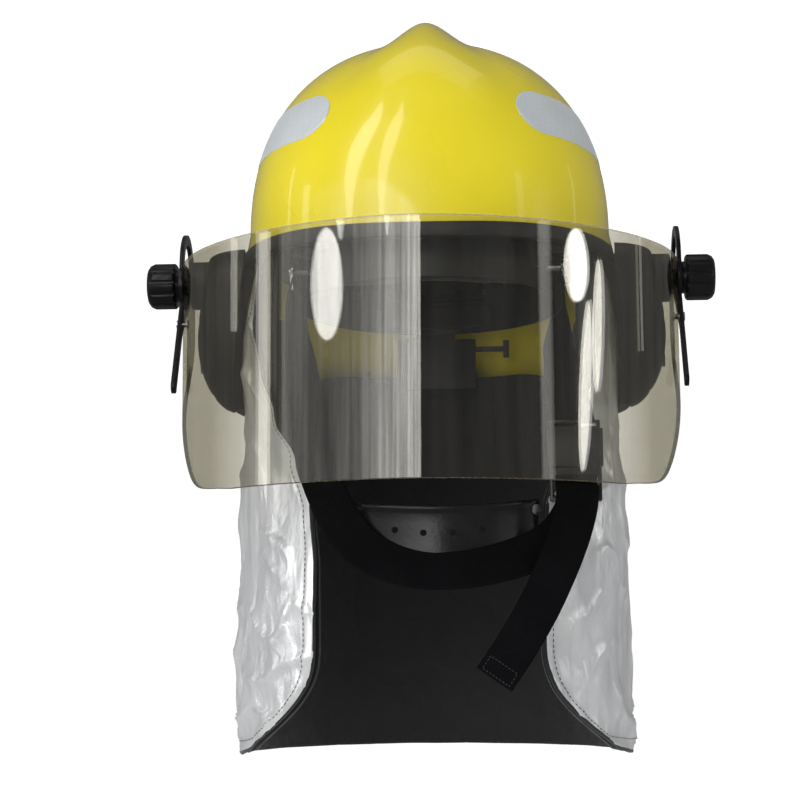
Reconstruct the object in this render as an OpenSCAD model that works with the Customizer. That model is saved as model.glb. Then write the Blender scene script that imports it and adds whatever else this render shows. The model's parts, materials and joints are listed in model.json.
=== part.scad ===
// Firefighter helmet with a combed shell, a tilting face visor, an aluminised neck curtain,
// a chin strap with a side-release buckle, and a ratchet head harness.
// Frame: millimetres, +X wearer's left to the viewer's right, +Y to the back, +Z up.
// The origin is the middle of the head opening, on the axis that the visor tilts about.

/* [Shell] */
// Half of the shell's width
shell_half_w = 113; // [110:0.5:114]
// Length of the shell in front of the dome's middle
shell_front = 130; // [127:1:131]
// Length of the shell behind the dome's middle
shell_back = 135; // [130:1:142]
// Wall of the moulded shell
shell_wall = 3; // [2.5:0.1:3.2]
// Height of the plain dome above its widest level
dome_h = 122.8; // [119:0.1:125]
// Height that the comb stands above the plain dome
comb_h = 13.2; // [8:0.1:14]
// How far the ear lobes bulge past the dome
ear_bulge = 12; // [9:0.5:13]

/* [Visor] */
// Distance from the tilt axis to the front of the visor
visor_reach = 148; // [146:1:155]
// Thickness of the visor sheet
visor_wall = 2.5; // [2:0.1:3]
// Height of the visor's top edge above the tilt axis
visor_top = 9; // [8:0.5:10]
// Depth of the visor's bottom edge below the tilt axis
visor_bottom = 136.5; // [125:0.5:138]

/* [Pivot] */
// Distance from the middle to the outer end of each hub
hub_end = 149; // [148.8:0.1:149.2]
// Radius of the hub
hub_r = 15; // [14:0.5:15.5]
// Radius of the spigot that the visor turns on
spigot_r = 5; // [4.5:0.1:5.5]
// Radius of the clamping knob
knob_r = 14.3; // [12:0.1:16]
// Length of the clamping knob's gripped part
knob_len = 17.5; // [14:0.5:20]
// Grip flutes round the knob
knob_flutes = 12; // [8:1:14]

/* [Neck curtain] */
// Level of the curtain's lowest edge, below the tilt axis
curtain_drop = 290; // [240:5:310]
// Half of the curtain's width where it hangs clear of the shell
curtain_half_w = 121; // [118:1:124]
// Thickness of the aluminised outer cloth
curtain_wall = 2.2; // [1.5:0.1:2.4]

/* [Chin strap] */
// Width of the webbing
webbing_w = 24; // [20:1:25]
// Thickness of the webbing
webbing_t = 1.6; // [1.2:0.1:2]

/* [Head harness] */
// Half of the headband's width
band_half_w = 82; // [78:1:83]
// Half of the headband's length
band_half_l = 101; // [96:1:102]
// Teeth on the adjuster's pinion
pinion_teeth = 12; // [12:4:12]
// Module of the pinion and of the two racks
gear_module = 1.25; // [1.25:0.25:1.25]

/* [Hidden] */
$fn = 48;

dome_y = 18;            // the dome's middle, behind the tilt axis
dome_z = 28;            // level of the shell's widest section
plan_power = 2.25;      // squareness of the shell seen from above
rise_power = 2.26;      // squareness of the shell seen from the front
brow_z = 6;             // level of the shell's edge over the brow
temple_z = 9;           // level of that edge at the temples
ear_z = -76;            // lowest level of the ear lobes
nape_z = -60;           // level of the shell's edge at the nape
tail_flare = 9;         // how far the shell's tail flares at the nape
trim_wall = 1.5;
trim_gap = 0.35;
trim_leg = 6;
trim_foot = 2;
liner_gap = 1.4;
liner_wall = 18;
liner_z = 16;
yellow = [0.93, 0.82, 0.09];
black = [0.06, 0.06, 0.065];
steel = [0.75, 0.75, 0.77];
silver = [0.82, 0.83, 0.84];

// Azimuth is 0 at the front, 90 at the +X side and 180 at the back. The stops close up at the ear lobes' front edge.
half_turn = [0, 8, 16, 24, 32, 40, 48, 56, 63, 69, 72.5, 75, 77.5, 80, 83, 87, 92, 98, 106, 115, 125, 136, 147, 158, 169, 180];
shell_turn = concat(half_turn, [for (i = [len(half_turn) - 2:-1:1]) 360 - half_turn[i]]);

// ---- Helper functions -------------------------------------------------------------------------

function clamp01(t) = max(0, min(1, t));
function ease(t) = let(c = clamp01(t)) c * c * (3 - 2 * c);
function mix(a, b, t) = a + (b - a) * t;
function unit(v) = v / norm(v);
function folded(a) = a > 180 ? 360 - a : a;
function table(t, rows, i = 0) =
    t <= rows[0][0] ? rows[0][1] :
    i >= len(rows) - 1 ? rows[len(rows) - 1][1] :
    t <= rows[i + 1][0] ? mix(rows[i][1], rows[i + 1][1], ease((t - rows[i][0]) / (rows[i + 1][0] - rows[i][0]))) :
    table(t, rows, i + 1);
function total(v, i = 0) = i >= len(v) ? 0 : v[i] + total(v, i + 1);

// Lofts a list of equal rings into one closed solid. An open loft's end rings are capped like ladders,
// from the ring's first half to its second. The two halves are split along matching diagonals, so thin walls stay even.
module loft(rings, closed = false) {
    n = len(rings);
    m = len(rings[0]);
    points = [for (r = rings) for (p = r) p];
    sides = [for (i = [0:(closed ? n - 1 : n - 2)]) for (j = [0:m - 1])
        let(i2 = (i + 1) % n, j2 = (j + 1) % m)
        each j < m / 2
            ? [[i * m + j, i * m + j2, i2 * m + j2], [i * m + j, i2 * m + j2, i2 * m + j]]
            : [[i * m + j, i * m + j2, i2 * m + j], [i * m + j2, i2 * m + j2, i2 * m + j]]];
    caps = closed ? [] : [for (j = [0:m / 2 - 2]) let(o = (n - 1) * m)
        each [[j, m - 1 - j, m - 2 - j], [j, m - 2 - j, j + 1],
              [o + j, o + m - 2 - j, o + m - 1 - j], [o + j, o + j + 1, o + m - 2 - j]]];
    faces = concat(sides, caps);
    volume = total([for (f = faces) points[f[0]] * cross(points[f[1]], points[f[2]])]);
    polyhedron(points, volume > 0 ? [for (f = faces) [f[2], f[1], f[0]]] : faces);
}

// A flat ribbon through stations of [centre, width direction], with square edges.
function ribbon_ring(route, i, w, t) =
    let(p = route[i][0],
        along = unit(route[min(i + 1, len(route) - 1)][0] - route[max(i - 1, 0)][0]),
        side = unit(route[i][1] - (route[i][1] * along) * along),
        face = cross(along, side))
    [p + side * w / 2 + face * t / 2, p - side * w / 2 + face * t / 2,
     p - side * w / 2 - face * t / 2, p + side * w / 2 - face * t / 2];
module ribbon(route, w, t) {
    loft([for (i = [0:len(route) - 1]) ribbon_ring(route, i, w, t)]);
}
// The same route with smooth stations between its own: parts stations to each stretch.
function spline(a, b, c, d, t) = b + (c - a) * t / 2 + (2 * a - 5 * b + 4 * c - d) * t * t / 2 + (3 * b - a - 3 * c + d) * t * t * t / 2;
function smooth_route(route, parts) = let(n = len(route) - 1)
    concat([for (i = [0:n - 1], j = [0:parts - 1]) let(t = j / parts, a = route[max(i - 1, 0)], b = route[i], c = route[i + 1], d = route[min(i + 2, n)])
        [spline(a[0], b[0], c[0], d[0], t), mix(unit(b[1]), unit(c[1]), ease(t))]], [route[n]]);

module along_x(side) {
    mirror([side < 0 ? 1 : 0, 0, 0]) rotate([90, 0, 90]) children();
}

module ring_x(side, x0, x1, r_out, r_in) {
    along_x(side) translate([0, 0, x0]) difference() {
        cylinder(h = x1 - x0, r = r_out);
        translate([0, 0, -1]) cylinder(h = x1 - x0 + 2, r = r_in);
    }
}

// ---- Shell surface ----------------------------------------------------------------------------

function plan(a) =
    let(s = abs(sin(a)), c = abs(cos(a)), k = pow(pow(s, plan_power) + pow(c, plan_power), -1 / plan_power))
    [sin(a) * k, -cos(a) * k];
function plan_length(a) = cos(a) > 0 ? shell_front : shell_back;

function comb_half_w(phi) = table(phi, [[12, 66], [30, 60], [45, 45], [62, 29], [90, 25], [130, 22], [175, 20]]);
function comb_rise(phi) = table(phi, [[2, 0], [22, 3], [45, 9.2], [70, 12.9], [92, 13.7], [130, 10], [172, 0]])
    * comb_h / 13.7;
function with_comb(p) =
    let(phi = atan2(p[2] - dome_z, dome_y - p[1]),
        lift = comb_rise(phi) * (1 - ease(abs(p[0]) / comb_half_w(phi))))
    p + [0, -cos(phi), sin(phi)] * lift;
function dome_at(a, e, inset, comb = true) =
    let(q = plan(a), c = pow(cos(e), 2 / rise_power), s = pow(sin(e), 2 / rise_power),
        p = [(shell_half_w - inset) * q[0] * c, dome_y + (plan_length(a) - inset) * q[1] * c, dome_z + (dome_h - inset) * s])
    comb ? with_comb(p) : p;

function ear_at(a, z) = ear_bulge * exp(-pow((folded(a) - 90) / 26, 2)) * sin(180 * clamp01((dome_z - z) / 148));
function tail_at(a, z) = tail_flare * ease((folded(a) - 118) / 62) * pow(clamp01((dome_z - z) / 90), 2);
function wall_at(a, z, inset) =
    let(q = plan(a), side = a > 180 ? -1 : 1)
    [(shell_half_w - inset) * q[0] + side * ear_at(a, z), dome_y + (plan_length(a) - inset) * q[1] + tail_at(a, z), z];
function rim_z(a) = table(folded(a), [[0, brow_z], [60, temple_z], [70, temple_z], [84, ear_z], [108, ear_z], [150, nape_z], [180, nape_z]]);

wall_rows = 5;
dome_stops = [0, 10, 20, 30, 40, 50, 60, 69, 77, 83.5, 89];
function shell_rings(inset) = concat(
    [for (i = [0:wall_rows - 1]) [for (a = shell_turn) wall_at(a, mix(rim_z(a), dome_z, i / wall_rows), inset)]],
    [for (e = dome_stops) [for (a = shell_turn) dome_at(a, e, inset)]]);
function reversed(v) = [for (i = [len(v) - 1:-1:0]) v[i]];

module outer_shell() {
    color(yellow) difference() {
        loft(concat(reversed(shell_rings(shell_wall)), shell_rings(0)));
        along_x(1) translate([0, 0, -150]) cylinder(h = 300, r = stud_r + 0.3);
    }
}

// A channel of rubber pushed over the shell's whole edge.
module rim_trim() {
    function across(a) =
        let(z = rim_z(a), hi = z + trim_leg, lo = z - trim_gap, foot = z - trim_gap - trim_foot, g = trim_gap, w = trim_gap + trim_wall)
        [wall_at(a, hi, -w), wall_at(a, foot, -w), wall_at(a, foot, shell_wall + w), wall_at(a, hi, shell_wall + w),
         wall_at(a, hi, shell_wall + g), wall_at(a, lo, shell_wall + g), wall_at(a, lo, -g), wall_at(a, hi, -g)];
    color(black) loft([for (a = shell_turn) across(a)], closed = true);
}

// Retro-reflective film on each flank, round at the front end and tapered at the back.
patch_from = 31;
patch_to = 128;
patch_low = 17.5;
patch_high = 33;
patch_stops = concat([0, 0.01, 0.03, 0.06], [for (i = [1:16]) mix(0.1, 1, (i - 1) / 15)]);
function patch_width(t) = t < 0.1 ? sqrt(1 - pow(1 - t / 0.1, 2)) * 0.98 + 0.02 : t > 0.6 ? mix(1, 0.12, ease((t - 0.6) / 0.4)) : 1;
module reflective_patch(side) {
    function ring(t) =
        let(a = mix(patch_from, patch_to, t), mid = (patch_low + patch_high) / 2, half = (patch_high - patch_low) / 2 * patch_width(t))
        concat([for (k = [-3:3]) dome_at(a, mid + half * k / 3, -1)],
               [for (k = [3:-1:-3]) dome_at(a, mid + half * k / 3, -0.6)]);
    color([0.78, 0.8, 0.82]) mirror([side < 0 ? 1 : 0, 0, 0]) loft([for (t = patch_stops) ring(t)]);
}

module impact_liner() {
    turn = [for (i = [0:31]) i * 360 / 32];
    function skin(inset) = concat([[for (a = turn) wall_at(a, liner_z, inset)]],
        [for (e = [0, 14, 28, 42, 56, 70, 82, 89]) [for (a = turn) dome_at(a, e, inset, comb = false)]]);
    outer = shell_wall + liner_gap;
    color([0.16, 0.16, 0.17]) loft(concat(reversed(skin(outer + liner_wall)), skin(outer)));
}

// ---- Side covers and visor pivots -------------------------------------------------------------

stud_r = 3;
cover_wall = 2.4;
cover_turn = [for (i = [0:35]) i * 10];
cover_front = 24;       // how far the cover reaches forward of the axis
cover_back = 62;
cover_up = 22;
cover_down = 80;
cover_hole = hub_r + 0.4;
cover_rise = 21;        // how far the cover stands off the shell at the hub
cover_gap = 2.2;        // leaves room for the rubber trim under the cover

// Outline of a cover in [y, z] round the hub, and its height over the shell from 0 at the outline to 1 at the hub.
function cover_edge(b) =
    let(y = cos(b) > 0 ? cover_back : cover_front, z = sin(b) > 0 ? cover_up : cover_down,
        k = pow(pow(abs(cos(b)), 2.4) + pow(abs(sin(b)), 2.4), -1 / 2.4))
    [cos(b) * k * y, sin(b) * k * z];
function azimuth_of(y) =
    let(v = (y - dome_y) / (y < dome_y ? shell_front : shell_back)) 90 + asin(max(-0.99, min(0.99, v)));
function shell_x(y, z) =
    let(v = abs(y - dome_y) / (y < dome_y ? shell_front : shell_back), x = pow(1 - pow(v, plan_power), 1 / plan_power))
    (z <= dome_z ? shell_half_w * x + ear_at(azimuth_of(y), z) : shell_half_w * x);
function cover_at(b, t) =
    let(r = mix(1, 0, t), edge = cover_edge(b), hole = [cos(b), sin(b)] * cover_hole,
        q = mix(hole, edge, r), swell = pow(1 - pow(r, 2.6), 0.6))
    [shell_x(q[0], q[1]) + cover_gap + max(cover_wall * 0.6, cover_rise * swell), q[0], q[1]];
module side_cover(side) {
    steps = [0, 0.05, 0.14, 0.28, 0.45, 0.65, 0.85, 1];
    outer = [for (t = steps) [for (b = cover_turn) cover_at(b, t)]];
    inner = [for (t = reversed(steps)) [for (b = cover_turn)
        let(p = cover_at(b, t), base = shell_x(p[1], p[2]) + cover_gap)
        [t == 0 ? base : max(base, p[0] - cover_wall), p[1], p[2]]]];
    color(black) mirror([side < 0 ? 1 : 0, 0, 0]) loft(concat(outer, inner), closed = true);
}

// Two screws on each side hold the cover to the shell's lobe.
module cover_screws() {
    color(steel) for (side = [-1, 1]) for (spot = [[4, 0.45], [-58, 0.4]])
        mirror([side < 0 ? 1 : 0, 0, 0])
            translate(cover_at(spot[0], spot[1]) + [0.3, 0, 0]) rotate([0, 90, 0]) difference() {
                union() {
                    cylinder(h = 2.4, r = 4.2);
                    translate([0, 0, -3]) cylinder(h = 3.5, r = 1.9);
                }
                translate([0, 0, 1.2]) cylinder(h = 3, r = 1.7, $fn = 6);
            }
}

washer_t = 1;
visor_x0 = hub_end + washer_t + 0.35;         // inner face of the visor's flat flanks
visor_x1 = visor_x0 + visor_wall;
arm_x0 = visor_x1 + 0.2;
arm_t = 2.4;
arm_x1 = arm_x0 + arm_t;
spring_x1 = arm_x1 + 0.9;
knob_x0 = spring_x1 + 0.4;
collar_len = 2.2;
hub_foot = shell_x(12, -14) + 1;

module pivot_hub(side) {
    color(black) along_x(side) difference() {
        union() {
            translate([0, 0, hub_foot]) cylinder(h = hub_end - hub_foot, r = hub_r);
            translate([0, 0, hub_end - 1]) cylinder(h = arm_x1 - hub_end + 0.6, r = spigot_r);
        }
        translate([0, 0, hub_foot - 1]) cylinder(h = arm_x1 - hub_foot + 4, r = stud_r + 0.1);
    }
}
module pivot_stud(side) {
    head = shell_x(0, 0) - shell_wall - 1.6;
    color(steel) along_x(side) union() {
        translate([0, 0, head - 3]) cylinder(h = 3, r = 7);
        translate([0, 0, head - 0.5]) cylinder(h = knob_x0 + knob_len - 3 - head, r = stud_r);
    }
}
module friction_washer(side) {
    color([0.75, 0.74, 0.7]) ring_x(side, hub_end + 0.1, hub_end + 0.1 + washer_t, 10.8, spigot_r + 0.06);
}
module spring_washer(side) {
    color(steel) ring_x(side, arm_x1 + 0.15, spring_x1, 9.5, spigot_r + 1.3);
}

// ---- Visor ------------------------------------------------------------------------------------

flank_front = -8;       // the visor's flanks are flat behind this
flank_back = 17;
visor_power = 1.8;
visor_sweep = 1.22;     // how steeply the lower back corners are cut up towards the hub
visor_corner_high = 9;

function visor_outline(inset) =
    let(w = visor_x1 - inset, l = visor_reach + flank_front - inset)
    [for (i = [-30:30]) let(a = i * 3, s = abs(sin(a)), c = cos(a))
        [sign(i) * w * pow(s, 2 / visor_power * 0.9), flank_front - l * pow(1 - pow(pow(s, 2 / visor_power * 0.9), visor_power), 1 / visor_power)]];

module visor() {
    outer = visor_outline(0);
    inner = visor_outline(visor_wall);
    last = len(outer) - 1;
    color([0.85, 0.87, 0.86, 0.4]) difference() {
        intersection() {
            translate([0, 0, -visor_bottom]) linear_extrude(visor_bottom + visor_top) polygon(concat(
                [[outer[0][0], flank_back]], outer, [[outer[last][0], flank_back], [inner[last][0], flank_back]],
                reversed(inner), [[inner[0][0], flank_back]]));
            along_x(1) translate([0, 0, -200]) linear_extrude(400) visor_side();
        }
        along_x(1) translate([0, 0, -200]) cylinder(h = 400, r = spigot_r + 0.05);
        for (q = rivet_spots) along_x(1) translate([q[0], q[1], -200]) cylinder(h = 400, r = rivet_r + 0.1);
    }
}
// Level of the sheet's lower edge at depth y: level in front, then swept up to the back with soft corners.
function visor_low(y) =
    let(v = y + 60, w = max(0, y - flank_back + 8))
    -visor_bottom + visor_sweep / 2 * (v + sqrt(v * v + 100)) + 8 - sqrt(max(0, 64 - w * w));
// Side view of the sheet in [y, z].
module visor_side() {
    front = -visor_reach - 5;
    r = visor_corner_high;
    polygon(concat(
        [[front, -visor_bottom], [-96, -visor_bottom]],
        [for (y = [-84:4:flank_back - 8]) [y, visor_low(y)]],
        [for (a = [20:20:80]) [flank_back - 8 + 8 * sin(a), visor_low(flank_back - 8 + 8 * sin(a))]],
        [for (a = [0:10:90]) [flank_back - r + r * cos(a), visor_top - r + r * sin(a)]],
        [[front, visor_top]]));
}

rivet_r = 1.6;
rivet_spots = [[14.2, -2], [-15, -27.3]];
loop_mid = [7, 10];
loop_r = [21, 24];
loop_band = 6.5;
strip_heel = [-8, -14];         // the arm's narrow strip runs down and forward from here
strip_tip = [-37, -69];
strip_along = unit(strip_tip - strip_heel);
strip_across = [-strip_along[1], strip_along[0]] * 4;
module arm2d() {
    difference() {
        union() {
            circle(17);
            translate([loop_mid[0] - loop_r[0], 0]) square([2 * loop_r[0], loop_mid[1] + 1]);
            translate(loop_mid) intersection() {
                polygon([for (i = [0:60]) [loop_r[0] * cos(i * 6), loop_r[1] * sin(i * 6)]]);
                translate([-40, 0]) square([80, 40]);
            }
            polygon([[-16, 1], strip_heel - strip_across, strip_tip - strip_across, strip_tip + strip_across,
                mix(strip_heel, strip_tip, 0.35) + strip_across, [-2, -22], [16, -9], [loop_mid[0] + loop_r[0], 1]]);
            translate(strip_tip) circle(4.2);
        }
        translate([loop_mid[0], loop_mid[1] + 2.5]) polygon([for (i = [0:36]) let(a = i * 5)
            [(loop_r[0] - loop_band) * cos(a), (loop_r[1] - loop_band - 2.5) * sin(a)]]);
        circle(spigot_r + 0.05);
        for (q = rivet_spots) translate(q) circle(rivet_r + 0.1);
    }
}
module visor_arm(side) {
    color(black) along_x(side) translate([0, 0, arm_x0]) linear_extrude(arm_t) arm2d();
}
// Domed rivets hold each arm to the sheet.
module arm_rivets() {
    color(steel) for (side = [-1, 1]) for (q = rivet_spots) along_x(side) translate([q[0], q[1], 0]) union() {
        translate([0, 0, visor_x0 - 0.7]) cylinder(h = arm_x1 - visor_x0 + 1.2, r = rivet_r);
        translate([0, 0, visor_x0 - 1.1]) cylinder(h = 1, r = 2.8);
        translate([0, 0, arm_x1 + 0.1]) cylinder(h = 0.9, r = 2.8);
    }
}

module knob(side) {
    face = knob_x0 + collar_len;
    end = face + knob_len;
    color(black) along_x(side) difference() {
        translate([0, 0, 0]) rotate_extrude($fn = 96) polygon([[stud_r + 0.05, knob_x0], [10, knob_x0], [10, face],
            [knob_r - 1, face], [knob_r, face + 1], [knob_r, end - 4], [knob_r - 1.2, end - 1.4], [knob_r - 3.2, end],
            [8.5, end], [8, end - 1], [0, end - 1], [0, end - 3], [stud_r + 0.05, end - 3]]);
        for (i = [0:knob_flutes - 1]) rotate([0, 0, i * 360 / knob_flutes])
            translate([knob_r + 0.9, 0, face - 1]) cylinder(h = knob_len + 2, r = 1.9, $fn = 24);
    }
}

// ---- Head harness -----------------------------------------------------------------------------

band_y = 14;            // middle of the headband
band_low = -14;
band_high = 10;
band_t = 1.6;
function band_point(a, grow) = [(band_half_w + grow) * sin(a), band_y - (band_half_l + grow) * cos(a)];
function band_arc(a0, a1, n, grow) = [for (i = [0:n]) band_point(mix(a0, a1, i / n), grow)];
module band_sector(a0, a1, n, g0, g1, z0, z1) {
    translate([0, 0, z0]) linear_extrude(z1 - z0) polygon(concat(band_arc(a0, a1, n, g1), reversed(band_arc(a0, a1, n, g0))));
}
module headband() {
    color([0.09, 0.09, 0.095]) union() {
        difference() {
            translate([0, 0, band_low]) linear_extrude(band_high - band_low) polygon(band_arc(0, 355, 71, band_t));
            translate([0, 0, band_low - 1]) linear_extrude(band_high - band_low + 2) polygon(band_arc(0, 355, 71, 0));
        }
        for (k = [0:5]) band_sector(23 + 60 * k, 37 + 60 * k, 4, 0, band_t, band_high - 1, band_high + 12);
    }
}
module brow_pad() {
    color([0.1, 0.1, 0.1]) loft([for (i = [0:20]) let(a = mix(-56, 56, i / 20), s = 1 - 0.35 * pow(abs(i - 10) / 10, 4),
            mid = (band_low + band_high) / 2 - 1) [for (q = [[-0.4, 1], [-4, 1.04], [-8.2, 0.8], [-9.2, 0.3], [-9.2, -0.3], [-8.2, -0.8], [-4, -1.04], [-0.4, -1]])
            let(p = band_point(a, q[0])) [p[0], p[1], mid + 14 * q[1] * s]]]);
}
module nape_pad() {
    color([0.1, 0.1, 0.1]) loft([for (i = [0:10]) let(a = mix(150, 210, i / 10))
        [for (q = [[-0.4, 11], [-6, 9], [-6, -9], [-0.4, -11]]) let(p = band_point(a, q[0])) [p[0], p[1], -2 + q[1]]]]);
}
crown_top = [104, 106.2, 108.4];
module crown_straps() {
    color([0.12, 0.12, 0.13]) for (k = [0:2]) ribbon([for (i = [0:16]) let(b = mix(2.5, 177.5, i / 16), a = 30 + 60 * k, r = cos(b), h = sin(b))
        [[(band_half_w - 3) * sin(a) * r, band_y + (band_half_l - 12.6) * cos(a) * r, 9 + (crown_top[k] - 9) * h],
         [cos(a), -sin(a), 0]]], 19, 1.4);
}
module crown_pad() {
    color([0.14, 0.14, 0.15]) translate([0, band_y, 86]) rotate_extrude($fn = 48)
        polygon([[0, 0], [26, 0], [30, 1.6], [30, 3.6], [27, 5], [0, 5]]);
}
lug_spots = [52, 128, 232, 308];     // azimuths of the lugs that hang the headband in the liner
module harness_lugs() {
    color([0.09, 0.09, 0.095]) for (q = lug_spots) let(p = band_point(q, band_t + 0.3))
        translate([p[0], p[1], -2]) rotate([0, 0, q - 90]) translate([0, -7, 0]) union() {
            cube([2, 14, 12]);
            translate([0, 3, 7.5]) cube([16, 8, 4]);
            translate([13, 7, 8]) cylinder(h = 14, r = 2.4);
        }
}

// Ratchet adjuster at the nape: a knob turns a pinion, and the pinion draws in two toothed band tails.
adj_y = 119;
adj_z = -34;
pitch_r = gear_module * pinion_teeth / 2;
tooth_pitch = PI * gear_module;
tail_t = 2.2;
module tooth2d(root_w, tip_w, low, high) {
    polygon([[-root_w / 2, low], [root_w / 2, low], [tip_w / 2, high], [-tip_w / 2, high]]);
}
module at_adjuster(y) {
    translate([0, adj_y + y, adj_z]) rotate([90, 0, 0]) mirror([0, 0, 1]) children();
}
module adjuster_housing() {
    color([0.09, 0.09, 0.095]) at_adjuster(0) difference() {
        union() {
            translate([-27, -17, -1.8]) cube([54, 34, 9.6]);
            translate([-13, 16, -1.8]) cube([26, 18, 2.4]);
        }
        translate([-30, pitch_r - 2.2, 0]) cube([60, 9, 3.2]);
        translate([-30, -pitch_r - 6.8, 0]) cube([60, 9, 3.2]);
        translate([0, 0, 0]) cylinder(h = 3.2, r = pitch_r + 2.2);
        translate([0, 0, 3]) cylinder(h = 10, r = 4.05);
    }
}
module adjuster_pinion() {
    color([0.75, 0.74, 0.7]) at_adjuster(0.3) union() {
        linear_extrude(2.5) union() {
            circle(pitch_r - 1.45);
            for (i = [0:pinion_teeth - 1]) rotate(i * 360 / pinion_teeth) translate([0, 0]) rotate(-90)
                tooth2d(2.0, 0.75, pitch_r - 1.8, pitch_r + 1);
        }
        translate([0, 0, 2]) cylinder(h = 8.3, r = 4);
        translate([0, 0, 10]) cylinder(h = 4, r = 2.9);
    }
}
module adjuster_knob() {
    color(black) at_adjuster(8.2) difference() {
        union() {
            cylinder(h = 9, r = 17, $fn = 96);
            translate([0, 0, 9]) cylinder(h = 1.2, r = 14);
        }
        for (i = [0:17]) rotate([0, 0, i * 20]) translate([18.2, 0, -1]) cylinder(h = 12, r = 2.2, $fn = 24);
        translate([0, 0, -1]) cylinder(h = 3.6, r = 4.1);
        translate([0, 0, -1]) cylinder(h = 7.4, r = 3.0);
    }
}
// A tail's rack lies over (side 1) or under (side -1) the pinion, and its strip runs round to the headband's flank.
module band_tail(side) {
    reach = 50;
    z_mid = side * (pitch_r + 2.9);
    color([0.09, 0.09, 0.095]) union() {
        at_adjuster(0.35) linear_extrude(tail_t) union() {
            translate([side > 0 ? -20 : -reach, z_mid - 1.75]) square([reach + 20, 3.5]);
            for (k = [-4:3]) translate([(k + 0.5) * tooth_pitch, 0]) mirror([0, side < 0 ? 1 : 0])
                translate([0, 2 * pitch_r]) mirror([0, 1]) tooth2d(2.0, 0.75, pitch_r - 1.6, pitch_r + 1);
        }
        translate([side > 0 ? reach - 4 : -reach, adj_y + 0.35, adj_z + z_mid - 6]) cube([4, tail_t, 12]);
    }
}

module cheek_pad(side) {
    color([0.1, 0.1, 0.1]) mirror([side < 0 ? 1 : 0, 0, 0]) loft([for (t = [0, 0.08, 0.25, 0.5, 0.75, 0.92, 1])
        let(z = mix(-68, -14, t), s = 0.55 + 0.45 * sqrt(max(0, 1 - pow(2 * t - 1, 4))))
        [for (q = [[102, 14], [106, 18], [108, 30], [108, 46], [105, 60], [98, 66], [92, 60], [90, 38], [92, 20], [98, 14]])
            [q[0] - 1, 40 + (q[1] - 40) * s, z]]]);
}

// ---- Neck curtain -----------------------------------------------------------------------------

curtain_y = 30;
curtain_front = 100;
curtain_back = 112;
cloth_front = 66;       // azimuth of the outer cloth's front edge at its top
lining_front = 55;      // the lining reaches further forward there
function curtain_front_edge(z, front) =
    min(front, table(-z, [[30, 66], [62, 61], [90, 52], [115, 41], [145, 35], [180, 33.5], [300, 37]]));
function curtain_top(a) = table(folded(a), [[66, 11], [74, 0], [84, -50], [108, -56], [150, -40], [180, -40]]);
function curtain_bottom(s) = -curtain_drop + 58 * pow(1 - clamp01(s / 0.24), 2);
function curtain_at(s, t, inset, front) =
    let(top = curtain_top(mix(front, 180, s)), z = mix(top, curtain_bottom(s), t),
        a = mix(curtain_front_edge(z, front), 180, s), q = plan(a), w = wall_at(a, z, shell_wall + 3.2 + inset),
        hang = [(curtain_half_w - inset) * sin(a), curtain_y - ((cos(a) > 0 ? curtain_front : curtain_back) - inset) * cos(a), z],
        b = ease((-z - 58) / 72))
    mix(w, hang, b);
curtain_rows = 11;
curtain_stops = [for (i = [0:17]) pow(i / 17, 1.25)];
function curtain_ring(s, side, inset, wall, front) = concat(
    [for (j = [0:curtain_rows]) let(p = curtain_at(s, j / curtain_rows, inset, front)) [side * p[0], p[1], p[2]]],
    [for (j = [curtain_rows:-1:0]) let(p = curtain_at(s, j / curtain_rows, inset + wall, front)) [side * p[0], p[1], p[2]]]);
module curtain_sheet(inset, wall, front) {
    loft(concat([for (s = curtain_stops) curtain_ring(s, 1, inset, wall, front)],
        [for (i = [len(curtain_stops) - 2:-1:0]) curtain_ring(curtain_stops[i], -1, inset, wall, front)]));
}
module neck_curtain() {
    color(silver) curtain_sheet(0, curtain_wall, cloth_front);
}
module curtain_lining() {
    color([0.07, 0.07, 0.08]) curtain_sheet(curtain_wall + 1.7, 1.2, lining_front);
}
// Hook tape inside the shell's edge that the curtain's top edge presses onto.
module curtain_tape() {
    stops = [90, 98, 106, 115, 125, 136, 147, 158, 169, 180, 191, 202, 213, 224, 235, 245, 254, 262, 270];
    color([0.12, 0.12, 0.12]) loft([for (a = stops) let(z = rim_z(a))
        [wall_at(a, z + 9, shell_wall + 0.9), wall_at(a, z + 20, shell_wall + 0.9),
         wall_at(a, z + 20, shell_wall + 2.2), wall_at(a, z + 9, shell_wall + 2.2)]]);
}

// ---- Chin strap -------------------------------------------------------------------------------

anchor = [82, -38, 0];      // outer face of the plate that a strap hangs on, outside the headband
buckle = [86, -60];         // middle of the buckle in [x, y]
socket_top = -96;
socket_len = 27;
plug_top = socket_top - socket_len - 0.3;
chin_route = [
    [[-79.4, -38, -6], [0.1, 1, 0]], [[-79, -42, -28], [0.4, 0.9, 0]], [[-76, -49, -58], [0.66, 0.6, 0]],
    [[-71.5, -56, -88], [0.86, 0.1, 0.1]], [[-67, -63, -113], [0.88, -0.3, 0.2]], [[-61, -68, -132], [0.82, -0.2, 0.42]],
    [[-53, -72, -149], [0.66, 0, 0.66]], [[-42, -78, -165], [0.42, 0.2, 0.8]], [[-27, -84, -176], [0.2, 0.34, 0.86]],
    [[-10, -88, -182], [0.06, 0.42, 0.9]], [[7, -89, -184], [0, 0.44, 0.9]], [[24, -88, -183], [-0.06, 0.42, 0.9]],
    [[38, -83.5, -180], [-0.2, 0.34, 0.86]], [[50, -77.5, -176.5], [-0.42, 0.2, 0.8]], [[62, -71, -172], [-0.6, 0, 0.7]],
    [[74, -66.8, -164], [-0.8, 0, 0.5]], [[82, -66, -154], [-0.96, 0, 0.2]], [[86, -65.8, -144], [-1, 0, 0]],
    [[86, -65.8, -128], [-1, 0, 0]]];
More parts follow.
